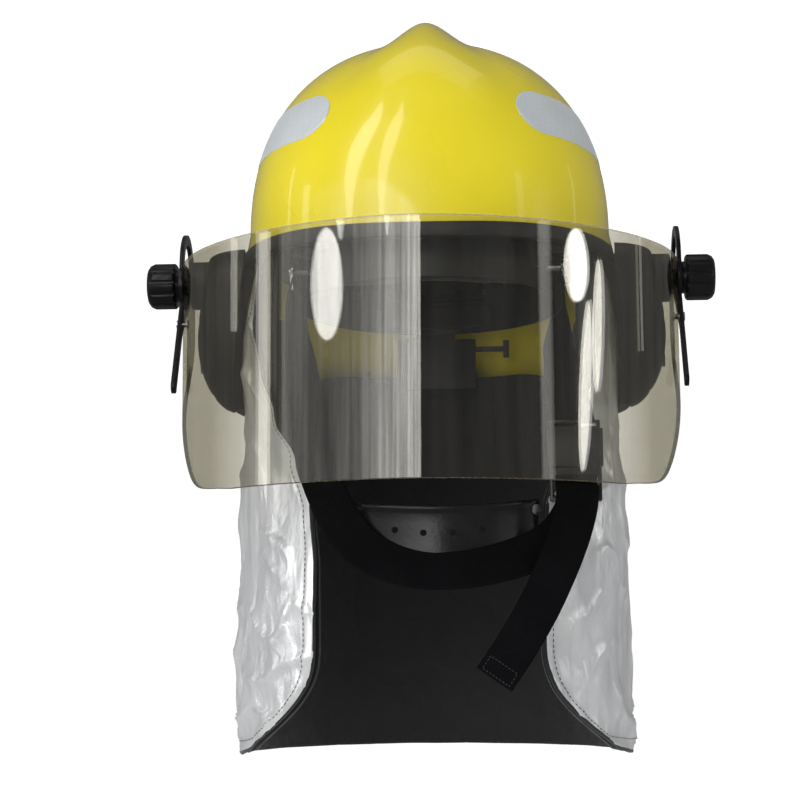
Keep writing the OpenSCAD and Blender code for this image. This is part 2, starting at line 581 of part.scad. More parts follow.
short_route = [
    [[79.4, -38, -6], [0.1, -1, 0]], [[78, -44, -26], [0.3, -0.95, 0]], [[77.5, -52, -52], [0.66, -0.7, 0]],
    [[82, -58, -76], [0.98, -0.1, 0]], [[buckle[0], buckle[1], socket_top - 2.2], [1, 0, 0]]];
tail_route = [
    [[87, -70.4, -134], [1, 0, 0]], [[86, -72, -146], [1, 0, 0]], [[83, -74.4, -158], [0.98, 0, -0.2]],
    [[78, -77.6, -172], [0.95, 0, -0.3]], [[71, -80, -188], [0.92, 0, -0.38]], [[62, -82, -206], [0.9, 0, -0.42]],
    [[50, -83, -226], [0.92, 0, -0.38]], [[37, -83.6, -245], [0.96, 0, -0.26]]];

module strap_anchor(side) {
    color(steel) along_x(side) translate([anchor[1], anchor[2], 0]) difference() {
        translate([0, 0, anchor[0] - 1.6]) union() {
            cylinder(h = 1.6, r = 9);
            translate([-12, -13, 0]) cube([24, 12, 1.6]);
        }
        translate([0, 0, anchor[0] - 3]) cylinder(h = 6, r = rivet_pin + 0.05);
    }
}
// The rivet's pin stands out of the headband, through the plate, to a flat head.
rivet_pin = 2.5;
module strap_rivets() {
    color(steel) for (side = [-1, 1]) along_x(side) translate([anchor[1], anchor[2], 0]) union() {
        translate([0, 0, 70.8]) cylinder(h = anchor[0] - 69.8, r = rivet_pin);
        translate([0, 0, anchor[0] + 0.3]) cylinder(h = 1.5, r = 5);
    }
}
module chin_strap() {
    color(black) ribbon(smooth_route(chin_route, 3), webbing_w, webbing_t);
}
module short_strap() {
    color(black) ribbon(smooth_route(short_route, 5), webbing_w, webbing_t);
}
module strap_tail() {
    color(black) ribbon(smooth_route(tail_route, 2), webbing_w, webbing_t);
}

cup_mid = [6.5, -46, -143.5];
cup_rx = 57;
cup_ry = 38;
module chin_cup() {
    function section(b) =
        let(c = cos(b), s = sin(b), tall = 7 + 22 * pow(max(0, c), 0.8), deep = 4 + 16 * pow(max(0, c), 1.2), drop = 6 * pow(max(0, c), 1.5),
            out = [s, -c, 0], p = [cup_mid[0] + cup_rx * s, cup_mid[1] - cup_ry * c, cup_mid[2] - drop])
        [p + out * 1.6 + [0, 0, 2.6], p + out * 1.8, p + out * 0.4 - [0, 0, tall], p - out * deep - [0, 0, tall + 4],
         p - out * deep - [0, 0, tall + 1.6], p - out * 2.4 - [0, 0, tall - 2.6], p - out * 1.2, p - out * 0.6 + [0, 0, 2.6]];
    color([0.12, 0.12, 0.12]) difference() {
        loft([for (i = [0:24]) section(mix(-88, 88, i / 24))]);
        for (x = [-25, -8.5, 8.5, 25]) translate([cup_mid[0] + x, cup_mid[1] - cup_ry - 8, cup_mid[2] - 19.5 + abs(x) * 0.12])
            rotate([-90, 0, 0]) cylinder(h = 30, r = 1.9, $fn = 24);
    }
}
module cup_studs() {
    color(steel) for (side = [-1, 1]) translate([cup_mid[0] + side * (cup_rx - 1.5), cup_mid[1] - 10, cup_mid[2] - 4])
        rotate([90, 0, side * 20]) cylinder(h = 3, r = 3);
}

// Side-release buckle. The plug's two sprung prongs show in the socket's side windows.
module buckle_socket() {
    color(black) translate([buckle[0], buckle[1], socket_top]) difference() {
        union() {
            translate([-16, -4.6, -socket_len]) cube([32, 9.2, socket_len - 5]);
            translate([-14.5, -3.4, -6]) cube([29, 6.8, 6]);
        }
        translate([-13, -2.6, -socket_len - 1]) cube([26, 5.2, 22]);
        for (side = [-1, 1]) translate([side * 14.5 - 2.5, -2.9, -socket_len - 1]) cube([5, 5.8, 17]);
        translate([-12.4, -5, -3.6]) cube([24.8, 10, 2.2]);
    }
}
module buckle_plug() {
    color(black) translate([buckle[0], buckle[1], plug_top]) difference() {
        union() {
            translate([-15, -4.4, -20]) cube([30, 8.8, 19.6]);
            translate([-1.5, -2, -1]) cube([3, 4, 18]);
        }
        translate([-12.6, -6, -8.6]) cube([25.2, 12, 2.6]);
        translate([-12.6, -6, -16.6]) cube([25.2, 12, 2.6]);
        for (side = [-1, 1]) translate([side * 9.2 - 3.1, -2.7, -4.2]) cube([6.2, 5.4, 6]);
    }
}
prong_root = [9.2, -2.6];
module prong(side) {
    color(black) translate([buckle[0], buckle[1], plug_top]) mirror([side < 0 ? 1 : 0, 0, 0]) union() {
        translate([prong_root[0], 0, prong_root[1]]) rotate([90, 0, 0]) translate([0, 0, -2.2]) cylinder(h = 4.4, r = 1.4);
        translate([prong_root[0] - 1.1, -2.1, prong_root[1]]) cube([2.2, 4.2, 8]);
        translate([0, 2.1, 0]) rotate([90, 0, 0]) linear_extrude(4.2) polygon([[8.1, 4.5], [10.3, 4.5], [14.6, 6.5], [15.4, 8],
            [15.4, 12.6], [12.6, 14.2], [11.4, 18.5], [8.6, 18.5], [8.1, 14]]);
    }
}

// ---- Output -----------------------------------------------------------------------------------

outer_shell();
rim_trim();
reflective_patch(-1);  // reflective_patch_left
reflective_patch(1);  // reflective_patch_right
impact_liner();
side_cover(-1);  // side_cover_left
side_cover(1);  // side_cover_right
cover_screws();
pivot_hub(-1);  // pivot_hub_left
pivot_hub(1);  // pivot_hub_right
pivot_stud(-1);  // pivot_stud_left
pivot_stud(1);  // pivot_stud_right
friction_washer(-1);  // friction_washer_left
friction_washer(1);  // friction_washer_right
visor();
visor_arm(-1);  // visor_arm_left
visor_arm(1);  // visor_arm_right
arm_rivets();
spring_washer(-1);  // spring_washer_left
spring_washer(1);  // spring_washer_right
knob(-1);  // knob_left
knob(1);  // knob_right
headband();
brow_pad();
crown_straps();
crown_pad();
harness_lugs();
adjuster_housing();
adjuster_knob();
adjuster_pinion();
band_tail(-1);  // band_tail_left
band_tail(1);  // band_tail_right
nape_pad();
cheek_pad(-1);  // cheek_pad_left
cheek_pad(1);  // cheek_pad_right
curtain_tape();
neck_curtain();
curtain_lining();
strap_rivets();
strap_anchor(-1);  // strap_anchor_left
strap_anchor(1);  // strap_anchor_right
chin_strap();
short_strap();
chin_cup();
cup_studs();
buckle_socket();
buckle_plug();
prong(-1);  // prong_left
prong(1);  // prong_right
strap_tail();
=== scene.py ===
"""Looks of a firefighter helmet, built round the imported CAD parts. The shape code is in millimetres."""

import json
import math

import bmesh
import bpy
import numpy as np
from mathutils import Matrix, Vector, noise


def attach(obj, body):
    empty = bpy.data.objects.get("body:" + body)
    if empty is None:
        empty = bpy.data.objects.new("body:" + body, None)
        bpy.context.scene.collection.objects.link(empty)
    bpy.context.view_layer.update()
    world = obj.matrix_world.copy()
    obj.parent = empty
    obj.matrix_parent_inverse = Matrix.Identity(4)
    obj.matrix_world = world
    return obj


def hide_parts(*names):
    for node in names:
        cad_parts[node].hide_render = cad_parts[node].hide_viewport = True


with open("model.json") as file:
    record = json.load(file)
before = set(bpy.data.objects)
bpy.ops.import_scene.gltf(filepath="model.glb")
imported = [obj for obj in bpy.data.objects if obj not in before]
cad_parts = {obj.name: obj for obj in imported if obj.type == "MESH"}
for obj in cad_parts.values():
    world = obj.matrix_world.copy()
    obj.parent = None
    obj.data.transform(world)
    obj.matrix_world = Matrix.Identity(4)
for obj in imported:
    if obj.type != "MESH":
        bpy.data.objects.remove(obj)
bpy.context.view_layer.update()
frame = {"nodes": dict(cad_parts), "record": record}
scene = bpy.context.scene
slot_of = {p["node"]: p["material_slot"] for p in frame["record"]["subparts"]}
MM = 0.001

# ---- Camera ------------------------------------------------------------------------------------

HEADING, PITCH, ROLL = 2.964, 7.65, -0.45


def turned(degrees, axis, size=4):
    return Matrix.Rotation(math.radians(degrees), size, axis)


camera = bpy.data.objects.new("camera", bpy.data.cameras.new("camera"))
scene.collection.objects.link(camera)
camera.data.lens = 82.9
camera.data.sensor_width = 36
camera.data.clip_end = 60
stand = Matrix.Translation((0.03954, -1.13231, -0.2265))
camera.matrix_world = stand @ turned(HEADING, "Z") @ turned(90 + PITCH, "X") @ turned(ROLL, "Z")
scene.camera = camera
scene.view_settings.view_transform = "Standard"
scene.view_settings.look = "None"

# ---- Node trees --------------------------------------------------------------------------------


class Nodes:
    """The node tree of a lamp, world or material, emptied, with short calls for the nodes to fill it."""

    def __init__(self, owner):
        owner.use_nodes = True
        self.tree = owner.node_tree
        self.tree.nodes.clear()

    def add(self, kind, values=None, **settings):
        node = self.tree.nodes.new(kind)
        for key, value in settings.items():
            setattr(node, key, value)
        for key, value in (values or {}).items():
            self.put(node.inputs[key], value)
        return node

    def put(self, socket, value):
        if isinstance(value, bpy.types.NodeSocket):
            self.tree.links.new(value, socket)
        else:
            socket.default_value = value

    def noise(self, scale, detail=4, rough=0.5, distort=0, place=None):
        values = {"Vector": place or self.place, "Scale": scale, "Detail": detail, "Roughness": rough,
                  "Distortion": distort}
        return self.add("ShaderNodeTexNoise", values).outputs["Fac"]

    def maths(self, operation, a, b=0.0, clamp=False):
        return self.add("ShaderNodeMath", {0: a, 1: b}, operation=operation, use_clamp=clamp).outputs[0]

    def plus(self, a, b, clamp=False):
        return self.maths("ADD", a, b, clamp)

    def times(self, a, b):
        return self.maths("MULTIPLY", a, b)

    def span(self, value, low, high, to_low=0.0, to_high=1.0, kind="LINEAR"):
        """value from low..high brought to to_low..to_high, and no further."""
        values = {"Value": value, "From Min": low, "From Max": high, "To Min": to_low, "To Max": to_high}
        return self.add("ShaderNodeMapRange", values, interpolation_type=kind).outputs["Result"]

    def split(self, vector):
        node = self.add("ShaderNodeSeparateXYZ", {"Vector": vector})
        return node.outputs[0], node.outputs[1], node.outputs[2]


# ---- Lamps and world light ---------------------------------------------------------------------

# Light from all round, as matt and as glossy surfaces get it. The camera sees 1.
MATT_LIGHT, GLOSSY_LIGHT = 0.37, 0.25


def fade(data):
    """Makes a lamp streaky and brighter towards one side, like a window with a gathered curtain."""
    nodes = Nodes(data)
    x, y, _ = nodes.split(nodes.add("ShaderNodeNewGeometry").outputs["Parametric"])
    rise = nodes.span(x, 0.35, 1.0, 0.2, 1.5, "SMOOTHSTEP")
    squeezed = nodes.add("ShaderNodeCombineXYZ", {"X": nodes.times(x, 26), "Y": y}).outputs[0]
    folds = nodes.span(nodes.noise(1.6, 5, place=squeezed), 0.35, 0.65, 0.55, 1.3)
    glow = nodes.add("ShaderNodeEmission", {"Strength": nodes.times(rise, folds)})
    nodes.add("ShaderNodeOutputLight", {"Surface": glow.outputs[0]})


def lamp(name, place, aim, size, radiance, tilt=0, shape="RECTANGLE"):
    """A soft light at place, facing aim, both in metres, as bright as radiance. Returns its data."""
    data = bpy.data.lights.new(name, "AREA")
    data.shape = shape
    data.size, data.size_y = size
    data.energy = radiance * math.pi * size[0] * size[1] * (math.pi / 4 if shape == "ELLIPSE" else 1)
    obj = bpy.data.objects.new(name, data)
    scene.collection.objects.link(obj)
    obj.location = place
    facing = (Vector(aim) - Vector(place)).to_track_quat("-Z", "Y").to_matrix()
    obj.rotation_euler = (facing @ turned(tilt, "Z", 3)).to_euler()
    return data


def world_light():
    """White behind the object, and softer light from all round."""
    scene.world = bpy.data.worlds.new("studio")
    nodes = Nodes(scene.world)
    ray = nodes.add("ShaderNodeLightPath").outputs
    lit = nodes.add("ShaderNodeMix", {"Factor": ray["Is Glossy Ray"], "A": MATT_LIGHT, "B": GLOSSY_LIGHT})
    seen = nodes.add("ShaderNodeMix", {"Factor": ray["Is Camera Ray"], "A": lit.outputs["Result"], "B": 1.0})
    back = nodes.add("ShaderNodeBackground", {"Strength": seen.outputs["Result"]})
    nodes.add("ShaderNodeOutputWorld", {"Surface": back.outputs[0]})


# Elliptical lamps, then rectangular ones: name, place, aim, (width, height), radiance and tilt in degrees.
OVALS = [
    ("tall_softbox_left", (-0.9, -1.0, 0.87), (0, 0, 0), (0.32, 1.25), 4.8, 0),
    ("tall_softbox_middle", (-0.48, -1.25, 0.87), (0, 0, 0), (0.22, 1.25), 4.4, 0),
    ("low_oval_left", (-1.19, -1.07, 0.266), (-0.05, -0.136, -0.027), (0.389, 0.153), 7.5, 0),
    ("low_oval_right", (1.5, -0.525, 0.291), (0.087, -0.117, -0.015), (0.31, 0.1), 7, 0),
    ("lens_right", (1.46, -0.42, 0.115), (0.09, -0.115, -0.08), (0.13, 0.27), 4.5, -38),
    ("lens_far_right", (1.52, -0.25, 0.2), (0.09, -0.115, -0.06), (0.12, 0.2), 5, -34)]
PANELS = [
    ("strip_left", (-1.46, -0.32, 0.12), (0, -0.1, -0.06), (0.16, 0.8), 2.6, 0),
    ("strip_far_left", (-1.5, 0.12, 0.45), (0, 0, 0.1), (0.06, 0.5), 2.5, 0),
    ("strip_far_right", (1.45, 0.42, 0.42), (0, 0, 0.1), (0.05, 0.5), 1.2, 0),
    ("wide_window", (-1.31, -1.8, 0.26), (-0.04, -0.13, 0.0), (3.0, 0.9), 3.4, -4),
    ("slot_right", (1.27, -0.85, 0.2), (0.07, -0.12, -0.05), (0.14, 0.8), 1.2, 0),
    ("top_panel", (0, -0.1, 1.6), (0, 0, 0), (1.5, 1.1), 0.65, 0)]
for row in OVALS:
    lamp(*row, "ELLIPSE")
for row in PANELS:
    data = lamp(*row)
    if row[0] == "wide_window":
        fade(data)
world_light()

# ---- Materials ---------------------------------------------------------------------------------


class Look(Nodes):
    """A material with one Principled shader. Its place is the object coordinates."""

    def __init__(self, name):
        self.material = bpy.data.materials.new(name)
        super().__init__(self.material)
        self.out = self.add("ShaderNodeOutputMaterial")
        self.shader = self.add("ShaderNodeBsdfPrincipled")
        self.put(self.out.inputs["Surface"], self.shader.outputs[0])
        self.place = self.add("ShaderNodeTexCoord").outputs["Object"]

    def set(self, **values):
        """Sets the shader's sockets, where base_color stands for Base Color. Returns the material."""
        names = {s.name.lower().replace(" ", "_"): s for s in self.shader.inputs}
        for key, value in values.items():
            self.put(names[key], value)
        return self.material

    def cells(self, scale, feature="F1", random=1.0):
        values = {"Vector": self.place, "Scale": scale, "Randomness": random}
        return self.add("ShaderNodeTexVoronoi", values, feature=feature).outputs["Distance"]

    def stretch(self, scale, turn=(0, 0, 0)):
        values = {"Vector": self.place, "Scale": scale, "Rotation": turn}
        return self.add("ShaderNodeMapping", values).outputs["Vector"]

    def blend(self, factor, a, b):
        a, b = ((*c, 1) if isinstance(c, tuple) else c for c in (a, b))
        return self.add("ShaderNodeMix", {0: factor, 6: a, 7: b}, data_type="RGBA").outputs[2]

    def bump(self, height, depth, strength=1.0, under=None):
        """depth is the height of 1 in metres."""
        values = {"Height": height, "Distance": depth, "Strength": strength}
        if under:
            values["Normal"] = under
        return self.add("ShaderNodeBump", values).outputs["Normal"]

    def weave(self, place, pitch):
        """0 to 1 over crossing threads, pitch metres apart."""
        x, y, z = self.split(place)
        turn = 2 * math.pi / pitch
        a, b = (self.maths("SINE", self.times(c, turn)) for c in (self.plus(x, y), z))
        return self.span(self.times(a, b), -1, 1)

    def crease(self, wave, reach):
        """0 along the lines where the wave crosses its middle, and 1 from reach away."""
        return self.span(self.maths("ABSOLUTE", self.maths("SUBTRACT", wave, 0.5)), 0, reach)


def shell_paint():
    """Gloss lemon paint with orange peel, a few specks and faint scuffs."""
    look = Look("shell_yellow")
    cloud = look.span(look.noise(9, 3), 0.35, 0.65)
    tone = look.blend(cloud, (0.705, 0.585, 0.010), (0.765, 0.640, 0.017))
    speck = look.span(look.noise(900, 2), 0.74, 0.8)
    tone = look.blend(look.times(speck, 0.25), tone, (0.45, 0.36, 0.02))
    scuff = look.noise(140, 6, 0.7, 0.6, look.stretch((1, 1, 0.35), (0.4, 0.2, 0.1)))
    scuff = look.span(scuff, 0.63, 0.72)
    peel, wave = look.noise(310, 2, 0.45), look.noise(28, 2, 0.4)
    normal = look.bump(peel, 0.00004, 0.35, look.bump(wave, 0.0006, 0.2))
    rough = look.plus(look.span(cloud, 0, 1, 0.24, 0.3), look.times(scuff, 0.14))
    return look.set(base_color=tone, roughness=rough, normal=normal, coat_weight=0.55, coat_roughness=0.05,
                    specular_ior_level=0.42)


def rubber():
    """Matt black rubber with dust in its grain."""
    look = Look("trim_rubber")
    dust = look.span(look.noise(60, 5), 0.5, 0.75)
    tone = look.blend(dust, (0.009, 0.009, 0.010), (0.026, 0.025, 0.024))
    return look.set(base_color=tone, roughness=look.span(dust, 0, 1, 0.5, 0.68),
                    normal=look.bump(look.noise(1400, 3), 0.00008, 0.5))


def retro_film():
    """Glass-bead film in sealed cells, with a faint honeycomb."""
    look = Look("reflective_film")
    seam = look.span(look.cells(260, "DISTANCE_TO_EDGE", 0.12), 0.02, 0.09)
    bead = look.noise(4200, 2)
    cloud = look.span(look.noise(22, 4), 0.35, 0.65)
    tone = look.blend(cloud, (0.51, 0.56, 0.585), (0.62, 0.665, 0.685))
    tone = look.blend(look.span(seam, 0, 1, 0.16, 0.0), tone, (0.35, 0.39, 0.41))
    normal = look.bump(seam, 0.00007, 0.4, look.bump(bead, 0.00003, 0.4))
    return look.set(base_color=tone, roughness=look.span(bead, 0.3, 0.7, 0.34, 0.5), metallic=0.25,
                    normal=normal, coat_weight=0.25, coat_roughness=0.2, sheen_weight=0.3)


def bead_foam():
    """Dark moulded foam of small beads, with pits where they meet."""
    look = Look("liner_foam")
    bead = look.cells(330)
    pit = look.span(look.cells(330, "DISTANCE_TO_EDGE"), 0.0, 0.12)
    tone = look.blend(look.span(bead, 0, 0.7), (0.030, 0.030, 0.033), (0.017, 0.017, 0.019))
    return look.set(base_color=look.blend(pit, (0.010, 0.010, 0.011), tone), roughness=0.86,
                    normal=look.bump(look.maths("SUBTRACT", pit, bead), 0.0005, 0.7))


def moulding(name, low, high, rough, grain, depth, wear=(0.05, 0.05, 0.05), wear_share=0.5, **more):
    """Moulded plastic: fine grain, faint flow marks and edges rubbed a little paler."""
    look = Look(name)
    flow = look.span(look.noise(34, 5, 0.6), 0.35, 0.68)
    edges = look.span(look.add("ShaderNodeNewGeometry").outputs["Pointiness"], 0.52, 0.6)
    tone = look.blend(look.times(edges, wear_share), look.blend(flow, low, high), wear)
    height = look.plus(look.noise(grain, 3, 0.55), look.times(look.cells(grain * 0.7), 0.6))
    scratch = look.noise(260, 4, 0.6, 0.3, look.stretch((1, 0.15, 1), (0.3, 0.5, 0.9)))
    scratch = look.span(scratch, 0.62, 0.74, 0, 0.1)
    return look.set(base_color=tone, roughness=look.plus(look.span(flow, 0, 1, *rough), scratch),
                    normal=look.bump(height, depth, 0.5), **more)


def machined_steel():
    """Turned steel with fine lines."""
    look = Look("steel")
    lines = look.noise(700, 3, 0.6, 0, look.stretch((0.06, 1, 1)))
    cloud = look.span(look.noise(120, 4), 0.3, 0.7)
    tone = look.blend(cloud, (0.44, 0.45, 0.47), (0.60, 0.61, 0.63))
    rough = look.plus(look.span(lines, 0.3, 0.7, 0.2, 0.34), look.span(cloud, 0, 1, 0, 0.08))
    return look.set(base_color=tone, metallic=1.0, roughness=rough, normal=look.bump(lines, 0.00003, 0.4))


def visor_sheet():
    """Hard-coated polycarbonate: a warm smoke tint that deepens where the sheet is seen side on."""
    look = Look("visor_clear")
    facing = look.add("ShaderNodeLayerWeight", {"Blend": 0.5}).outputs["Facing"]
    depth = look.span(look.maths("POWER", facing, 2.0), 0.0, 0.29)
    haze = look.span(look.noise(34, 4), 0.3, 0.7, 0.0, 0.04)
    tint = look.blend(look.plus(depth, haze, True), (0.915, 0.908, 0.875), (0.61, 0.59, 0.51))
    clear = look.add("ShaderNodeBsdfTransparent", {"Color": tint})
    smear = look.noise(46, 5, 0.62, 0.8, look.stretch((1, 1, 0.25)))
    fresnel = look.add("ShaderNodeFresnel", {"IOR": 1.52}).outputs["Fac"]
    streak = look.noise(120, 4, 0.6, 0.4, look.stretch((1, 1, 0.04)))
    wiped = look.span(streak, 0.3, 0.72, 0.45, 1.5)
    mirror = look.maths("MINIMUM", look.times(fresnel, wiped), 0.2)
    share = look.plus(mirror, look.span(smear, 0.5, 0.9, 0.002, 0.012), True)
    gloss = look.add("ShaderNodeBsdfGlossy", {"Color": (1, 0.99, 0.96, 1), "Roughness": 0.018})
    both = look.add("ShaderNodeMixShader", {0: share, 1: clear.outputs[0], 2: gloss.outputs[0]})
    look.put(look.out.inputs["Surface"], both.outputs[0])
    look.tree.nodes.remove(look.shader)
    return look.material


def visor_rim(name, low, high, alpha):
    """The sheet's sawn and flamed edge, in painted light: pale as a painted glow where gathered light comes
    out, and dark as painted shade below.
    """
    look = Look(name)
    line = look.noise(900, 3, 0.5, 0, look.stretch((1, 1, 0.2)))
    tone = look.blend(look.span(line, 0.3, 0.7), low, high)
    return look.set(base_color=tone, roughness=look.span(line, 0.3, 0.7, 0.18, 0.36), alpha=alpha,
                    normal=look.bump(line, 0.00005, 0.4))


def webbing(name, low, high):
    """Herringbone nylon webbing. Its UV map is in metres, along and across."""
    look = Look(name)
    stripe, rib_pitch = 0.0019, 0.00125
    along, across, _ = look.split(look.add("ShaderNodeTexCoord").outputs["UV"])
    zig = look.maths("PINGPONG", across, stripe)
    turn = look.times(look.plus(along, zig), 2 * math.pi / rib_pitch)
    rib = look.span(look.maths("SINE", turn), -1, 1)
    groove = look.span(look.maths("PINGPONG", across, stripe / 2), 0.0, 0.0003)
    fuzz = look.noise(2600, 3, 0.7)
    worn = look.span(look.noise(55, 4), 0.4, 0.75)
    height = look.plus(look.times(rib, groove), look.times(fuzz, 0.35))
    tone = look.blend(look.times(height, 0.6), low, high)
    tone = look.blend(look.times(worn, 0.3), tone, high)
    return look.set(base_color=tone, roughness=0.8, normal=look.bump(height, 0.00035, 0.8),
                    specular_ior_level=0.05, sheen_weight=0.01, sheen_roughness=0.4)


def fabric(name, low, high, pitch, depth, sheen, fold_depth=0.0011):
    """Knitted or woven cloth over foam, its threads a little bent."""
    look = Look(name)
    bent = look.add("ShaderNodeTexNoise", {"Vector": look.place, "Scale": 60.0, "Detail": 2.0})
    values = {0: 0.0012, 1: look.place, 2: bent.outputs["Color"]}
    warp = look.add("ShaderNodeMixRGB", values, blend_type="ADD")
    knit = look.weave(warp.outputs[0], pitch)
    fuzz = look.noise(2300, 3, 0.7)
    height = look.plus(look.times(knit, 0.7), look.times(fuzz, 0.4))
    normal = look.bump(height, depth, 0.8, look.bump(look.noise(70, 4, 0.6, 0.4), fold_depth, 0.6))
    return look.set(base_color=look.blend(height, low, high), roughness=0.9, normal=normal,
                    sheen_weight=sheen, sheen_roughness=0.5)


def silver_cloth():
    """Aluminised cloth: metal foil over a woven base, crazed with fine creases, with painted shade along the
    broad creases.
    """
    look = Look("aluminised_cloth")
    weave = look.weave(look.place, 0.0014)
    slant = look.stretch((1, 1, 0.42), (0.25, 0.35, 0))
    broad = look.crease(look.noise(24, 4, 0.55, 0.5, slant), 0.12)
    fine = look.crease(look.noise(110, 4, 0.6, 0.6, slant), 0.2)
    cloud = look.span(look.noise(26, 5), 0.3, 0.7)
    tone = look.blend(cloud, (0.80, 0.812, 0.825), (0.96, 0.965, 0.97))
    # Painted shade: the colour darkens along the broad creases, where the folds fall into shadow.
    tone = look.blend(look.span(broad, 0, 1, 0.3, 0), tone, (0.50, 0.51, 0.53))
    rough = look.plus(look.span(cloud, 0, 1, 0.36, 0.26), look.span(weave, 0, 1, 0.08, 0))
    normal = look.bump(weave, 0.00012, 0.35)
    folds = look.noise(17, 3, 0.5, 0.5, slant)
    for height, depth, strength in ((fine, 0.0005, 0.4), (broad, 0.0016, 0.5), (folds, 0.016, 0.8)):
        normal = look.bump(height, depth, strength, normal)
    return look.set(base_color=tone, metallic=0.55, roughness=rough, normal=normal)


def black(level):
    """A black with a trace of blue."""
    return level, level, level + 0.001


materials = {
    "shell_yellow": shell_paint(),
    "trim_rubber": rubber(),
    "reflective_film": retro_film(),
    "liner_foam": bead_foam(),
    "cover_black": moulding("cover_black", black(0.010), black(0.016), (0.34, 0.46), 1100, 0.00009),
    "steel": machined_steel(),
    "nylon": moulding("nylon", (0.60, 0.58, 0.52), (0.70, 0.68, 0.62), (0.4, 0.5), 900, 0.00005,
                      (0.74, 0.73, 0.68), subsurface_weight=0.1),
    "visor_clear": visor_sheet(),
    "pivot_black": moulding("pivot_black", black(0.004), black(0.008), (0.22, 0.32), 1500, 0.00005,
                            black(0.012), specular_ior_level=0.18),
    "harness_black": moulding("harness_black", black(0.011), black(0.019), (0.42, 0.55), 800, 0.0001),
    "pad_fabric": fabric("pad_fabric", black(0.004), (0.015, 0.015, 0.017), 0.0016, 0.0003, 0.15),
    "webbing": webbing("webbing", (0.0015, 0.0015, 0.002), (0.008, 0.008, 0.0095)),
    "lining_black": fabric("lining_black", black(0.005), (0.019, 0.019, 0.021), 0.0011, 0.00022, 0.2,
                           0.00198),
    "aluminised_cloth": silver_cloth(),
    "cup_black": moulding("cup_black", black(0.004), black(0.008), (0.24, 0.34), 500, 0.00012,
                          (0.02, 0.02, 0.022), 0.3, specular_ior_level=0.3, coat_weight=0.12,
                          coat_roughness=0.3),
    "buckle_black": moulding("buckle_black", black(0.009), black(0.015), (0.25, 0.34), 1300, 0.00005,
                             coat_weight=0.15, coat_roughness=0.2),
}
# The visor edge in a lit and a shaded copy: a painted glow, and painted shade for the lower edges.
painted_glow_rim = visor_rim("visor_edge", (0.50, 0.42, 0.26), (0.72, 0.65, 0.46), 0.62)
painted_shade_rim = visor_rim("visor_edge_dark", (0.035, 0.026, 0.018), (0.10, 0.08, 0.055), 0.85)
thread_pale = moulding("thread_pale", (0.34, 0.33, 0.30), (0.5, 0.49, 0.46), (0.6, 0.75), 3000, 0.0001)
thread_dark = moulding("thread_dark", (0.03, 0.03, 0.033), (0.06, 0.06, 0.065), (0.55, 0.7), 3000, 0.0001)

# ---- Mesh helpers ------------------------------------------------------------------------------

SIM_FRAMES = 20


def ease(t):
    """0 to 1, flat at both ends."""
    t = np.clip(t, 0, 1)
    return t * t * (3 - 2 * t)


def mix(a, b, t):
    return a + (b - a) * t


def table(t, rows):
    """The rows' values over their keys, eased from one to the next."""
    keys, values = np.array(rows, float).T
    i = np.clip(np.searchsorted(keys, t, side="left") - 1, 0, len(keys) - 2)
    return values[i] + (values[i + 1] - values[i]) * ease((t - keys[i]) / (keys[i + 1] - keys[i]))


def unit(v):
    return v / np.linalg.norm(v, axis=-1, keepdims=True)


def spline(points, t):
    """The curve between the middle two of four points."""
    a, b, c, d = points
    return b + (c - a) * t / 2 + (2 * a - 5 * b + 4 * c - d) * t**2 / 2 + (3 * b - a - 3 * c + d) * t**3 / 2


def walk(path):
    """The distance along a path at each of its points."""
    return np.concatenate([[0], np.cumsum(np.linalg.norm(np.diff(path, axis=0), axis=1))])


def shade(obj, sharp):
    """Smooth shading, except across edges sharper than the angle in degrees."""
    obj.data.shade_smooth()
    obj.data.set_sharp_from_angle(angle=math.radians(sharp))


def piece(name, points, faces, slot, body, stands_for=(), material=None, sharp=38, uv=None):
    """A new piece from points in millimetres, with its faces turned outwards."""
    mesh = bpy.data.meshes.new(name)
    mesh.from_pydata((np.asarray(points, float).reshape(-1, 3) * MM).tolist(), [], faces)
    if uv is not None:
        loops = np.zeros(len(mesh.loops), int)
        mesh.loops.foreach_get("vertex_index", loops)
        layer = mesh.uv_layers.new(name="metres")
        layer.data.foreach_set("uv", np.asarray(uv, np.float32).reshape(-1, 2)[loops].ravel())
    work = bmesh.new()
    work.from_mesh(mesh)
    bmesh.ops.recalc_face_normals(work, faces=work.faces)
    work.to_mesh(mesh)
    work.free()
    obj = bpy.data.objects.new(name, mesh)
    shade(obj, sharp)
    scene.collection.objects.link(obj)
    mesh.materials.append(material or materials[slot])
    if body:
        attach(obj, body)
    if stands_for:
        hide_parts(*stands_for)
    return obj


def loft(rings, closed=False, caps=True, first=0):
    """Quads over equal rings. An open loft is capped, and a closed one joins its last ring to its first."""
    n, m = len(rings), len(rings[0])
    faces = []
    for i in range(n if closed else n - 1):
        k = (i + 1) % n
        for j in range(m):
            q = (j + 1) % m
            faces.append((first + i * m + j, first + i * m + q, first + k * m + q, first + k * m + j))
    if caps and not closed:
        faces.append(tuple(first + j for j in range(m)))
        faces.append(tuple(first + (n - 1) * m + j for j in reversed(range(m))))
    return faces


def thick_sheet(outer, inner):
    """Faces of a closed sheet over two equal grids of points, and the points."""
    rows, cols = outer.shape[:2]
    count = rows * cols
    points = np.concatenate([outer.reshape(-1, 3), inner.reshape(-1, 3)])
    faces = []
    for i in range(rows - 1):
        for j in range(cols - 1):
            a = i * cols + j
            quad = (a, a + 1, a + cols + 1, a + cols)
            faces.append(quad)
            faces.append(tuple(count + k for k in reversed(quad)))
    grid = np.arange(count).reshape(rows, cols)
    border = [*grid[0], *grid[1:, -1], *grid[-1, -2::-1], *grid[-2:0:-1, 0]]
    border = [int(k) for k in border]
    for a, b in zip(border, border[1:] + border[:1]):
        faces.append((b, a, count + a, count + b))
    return points, faces


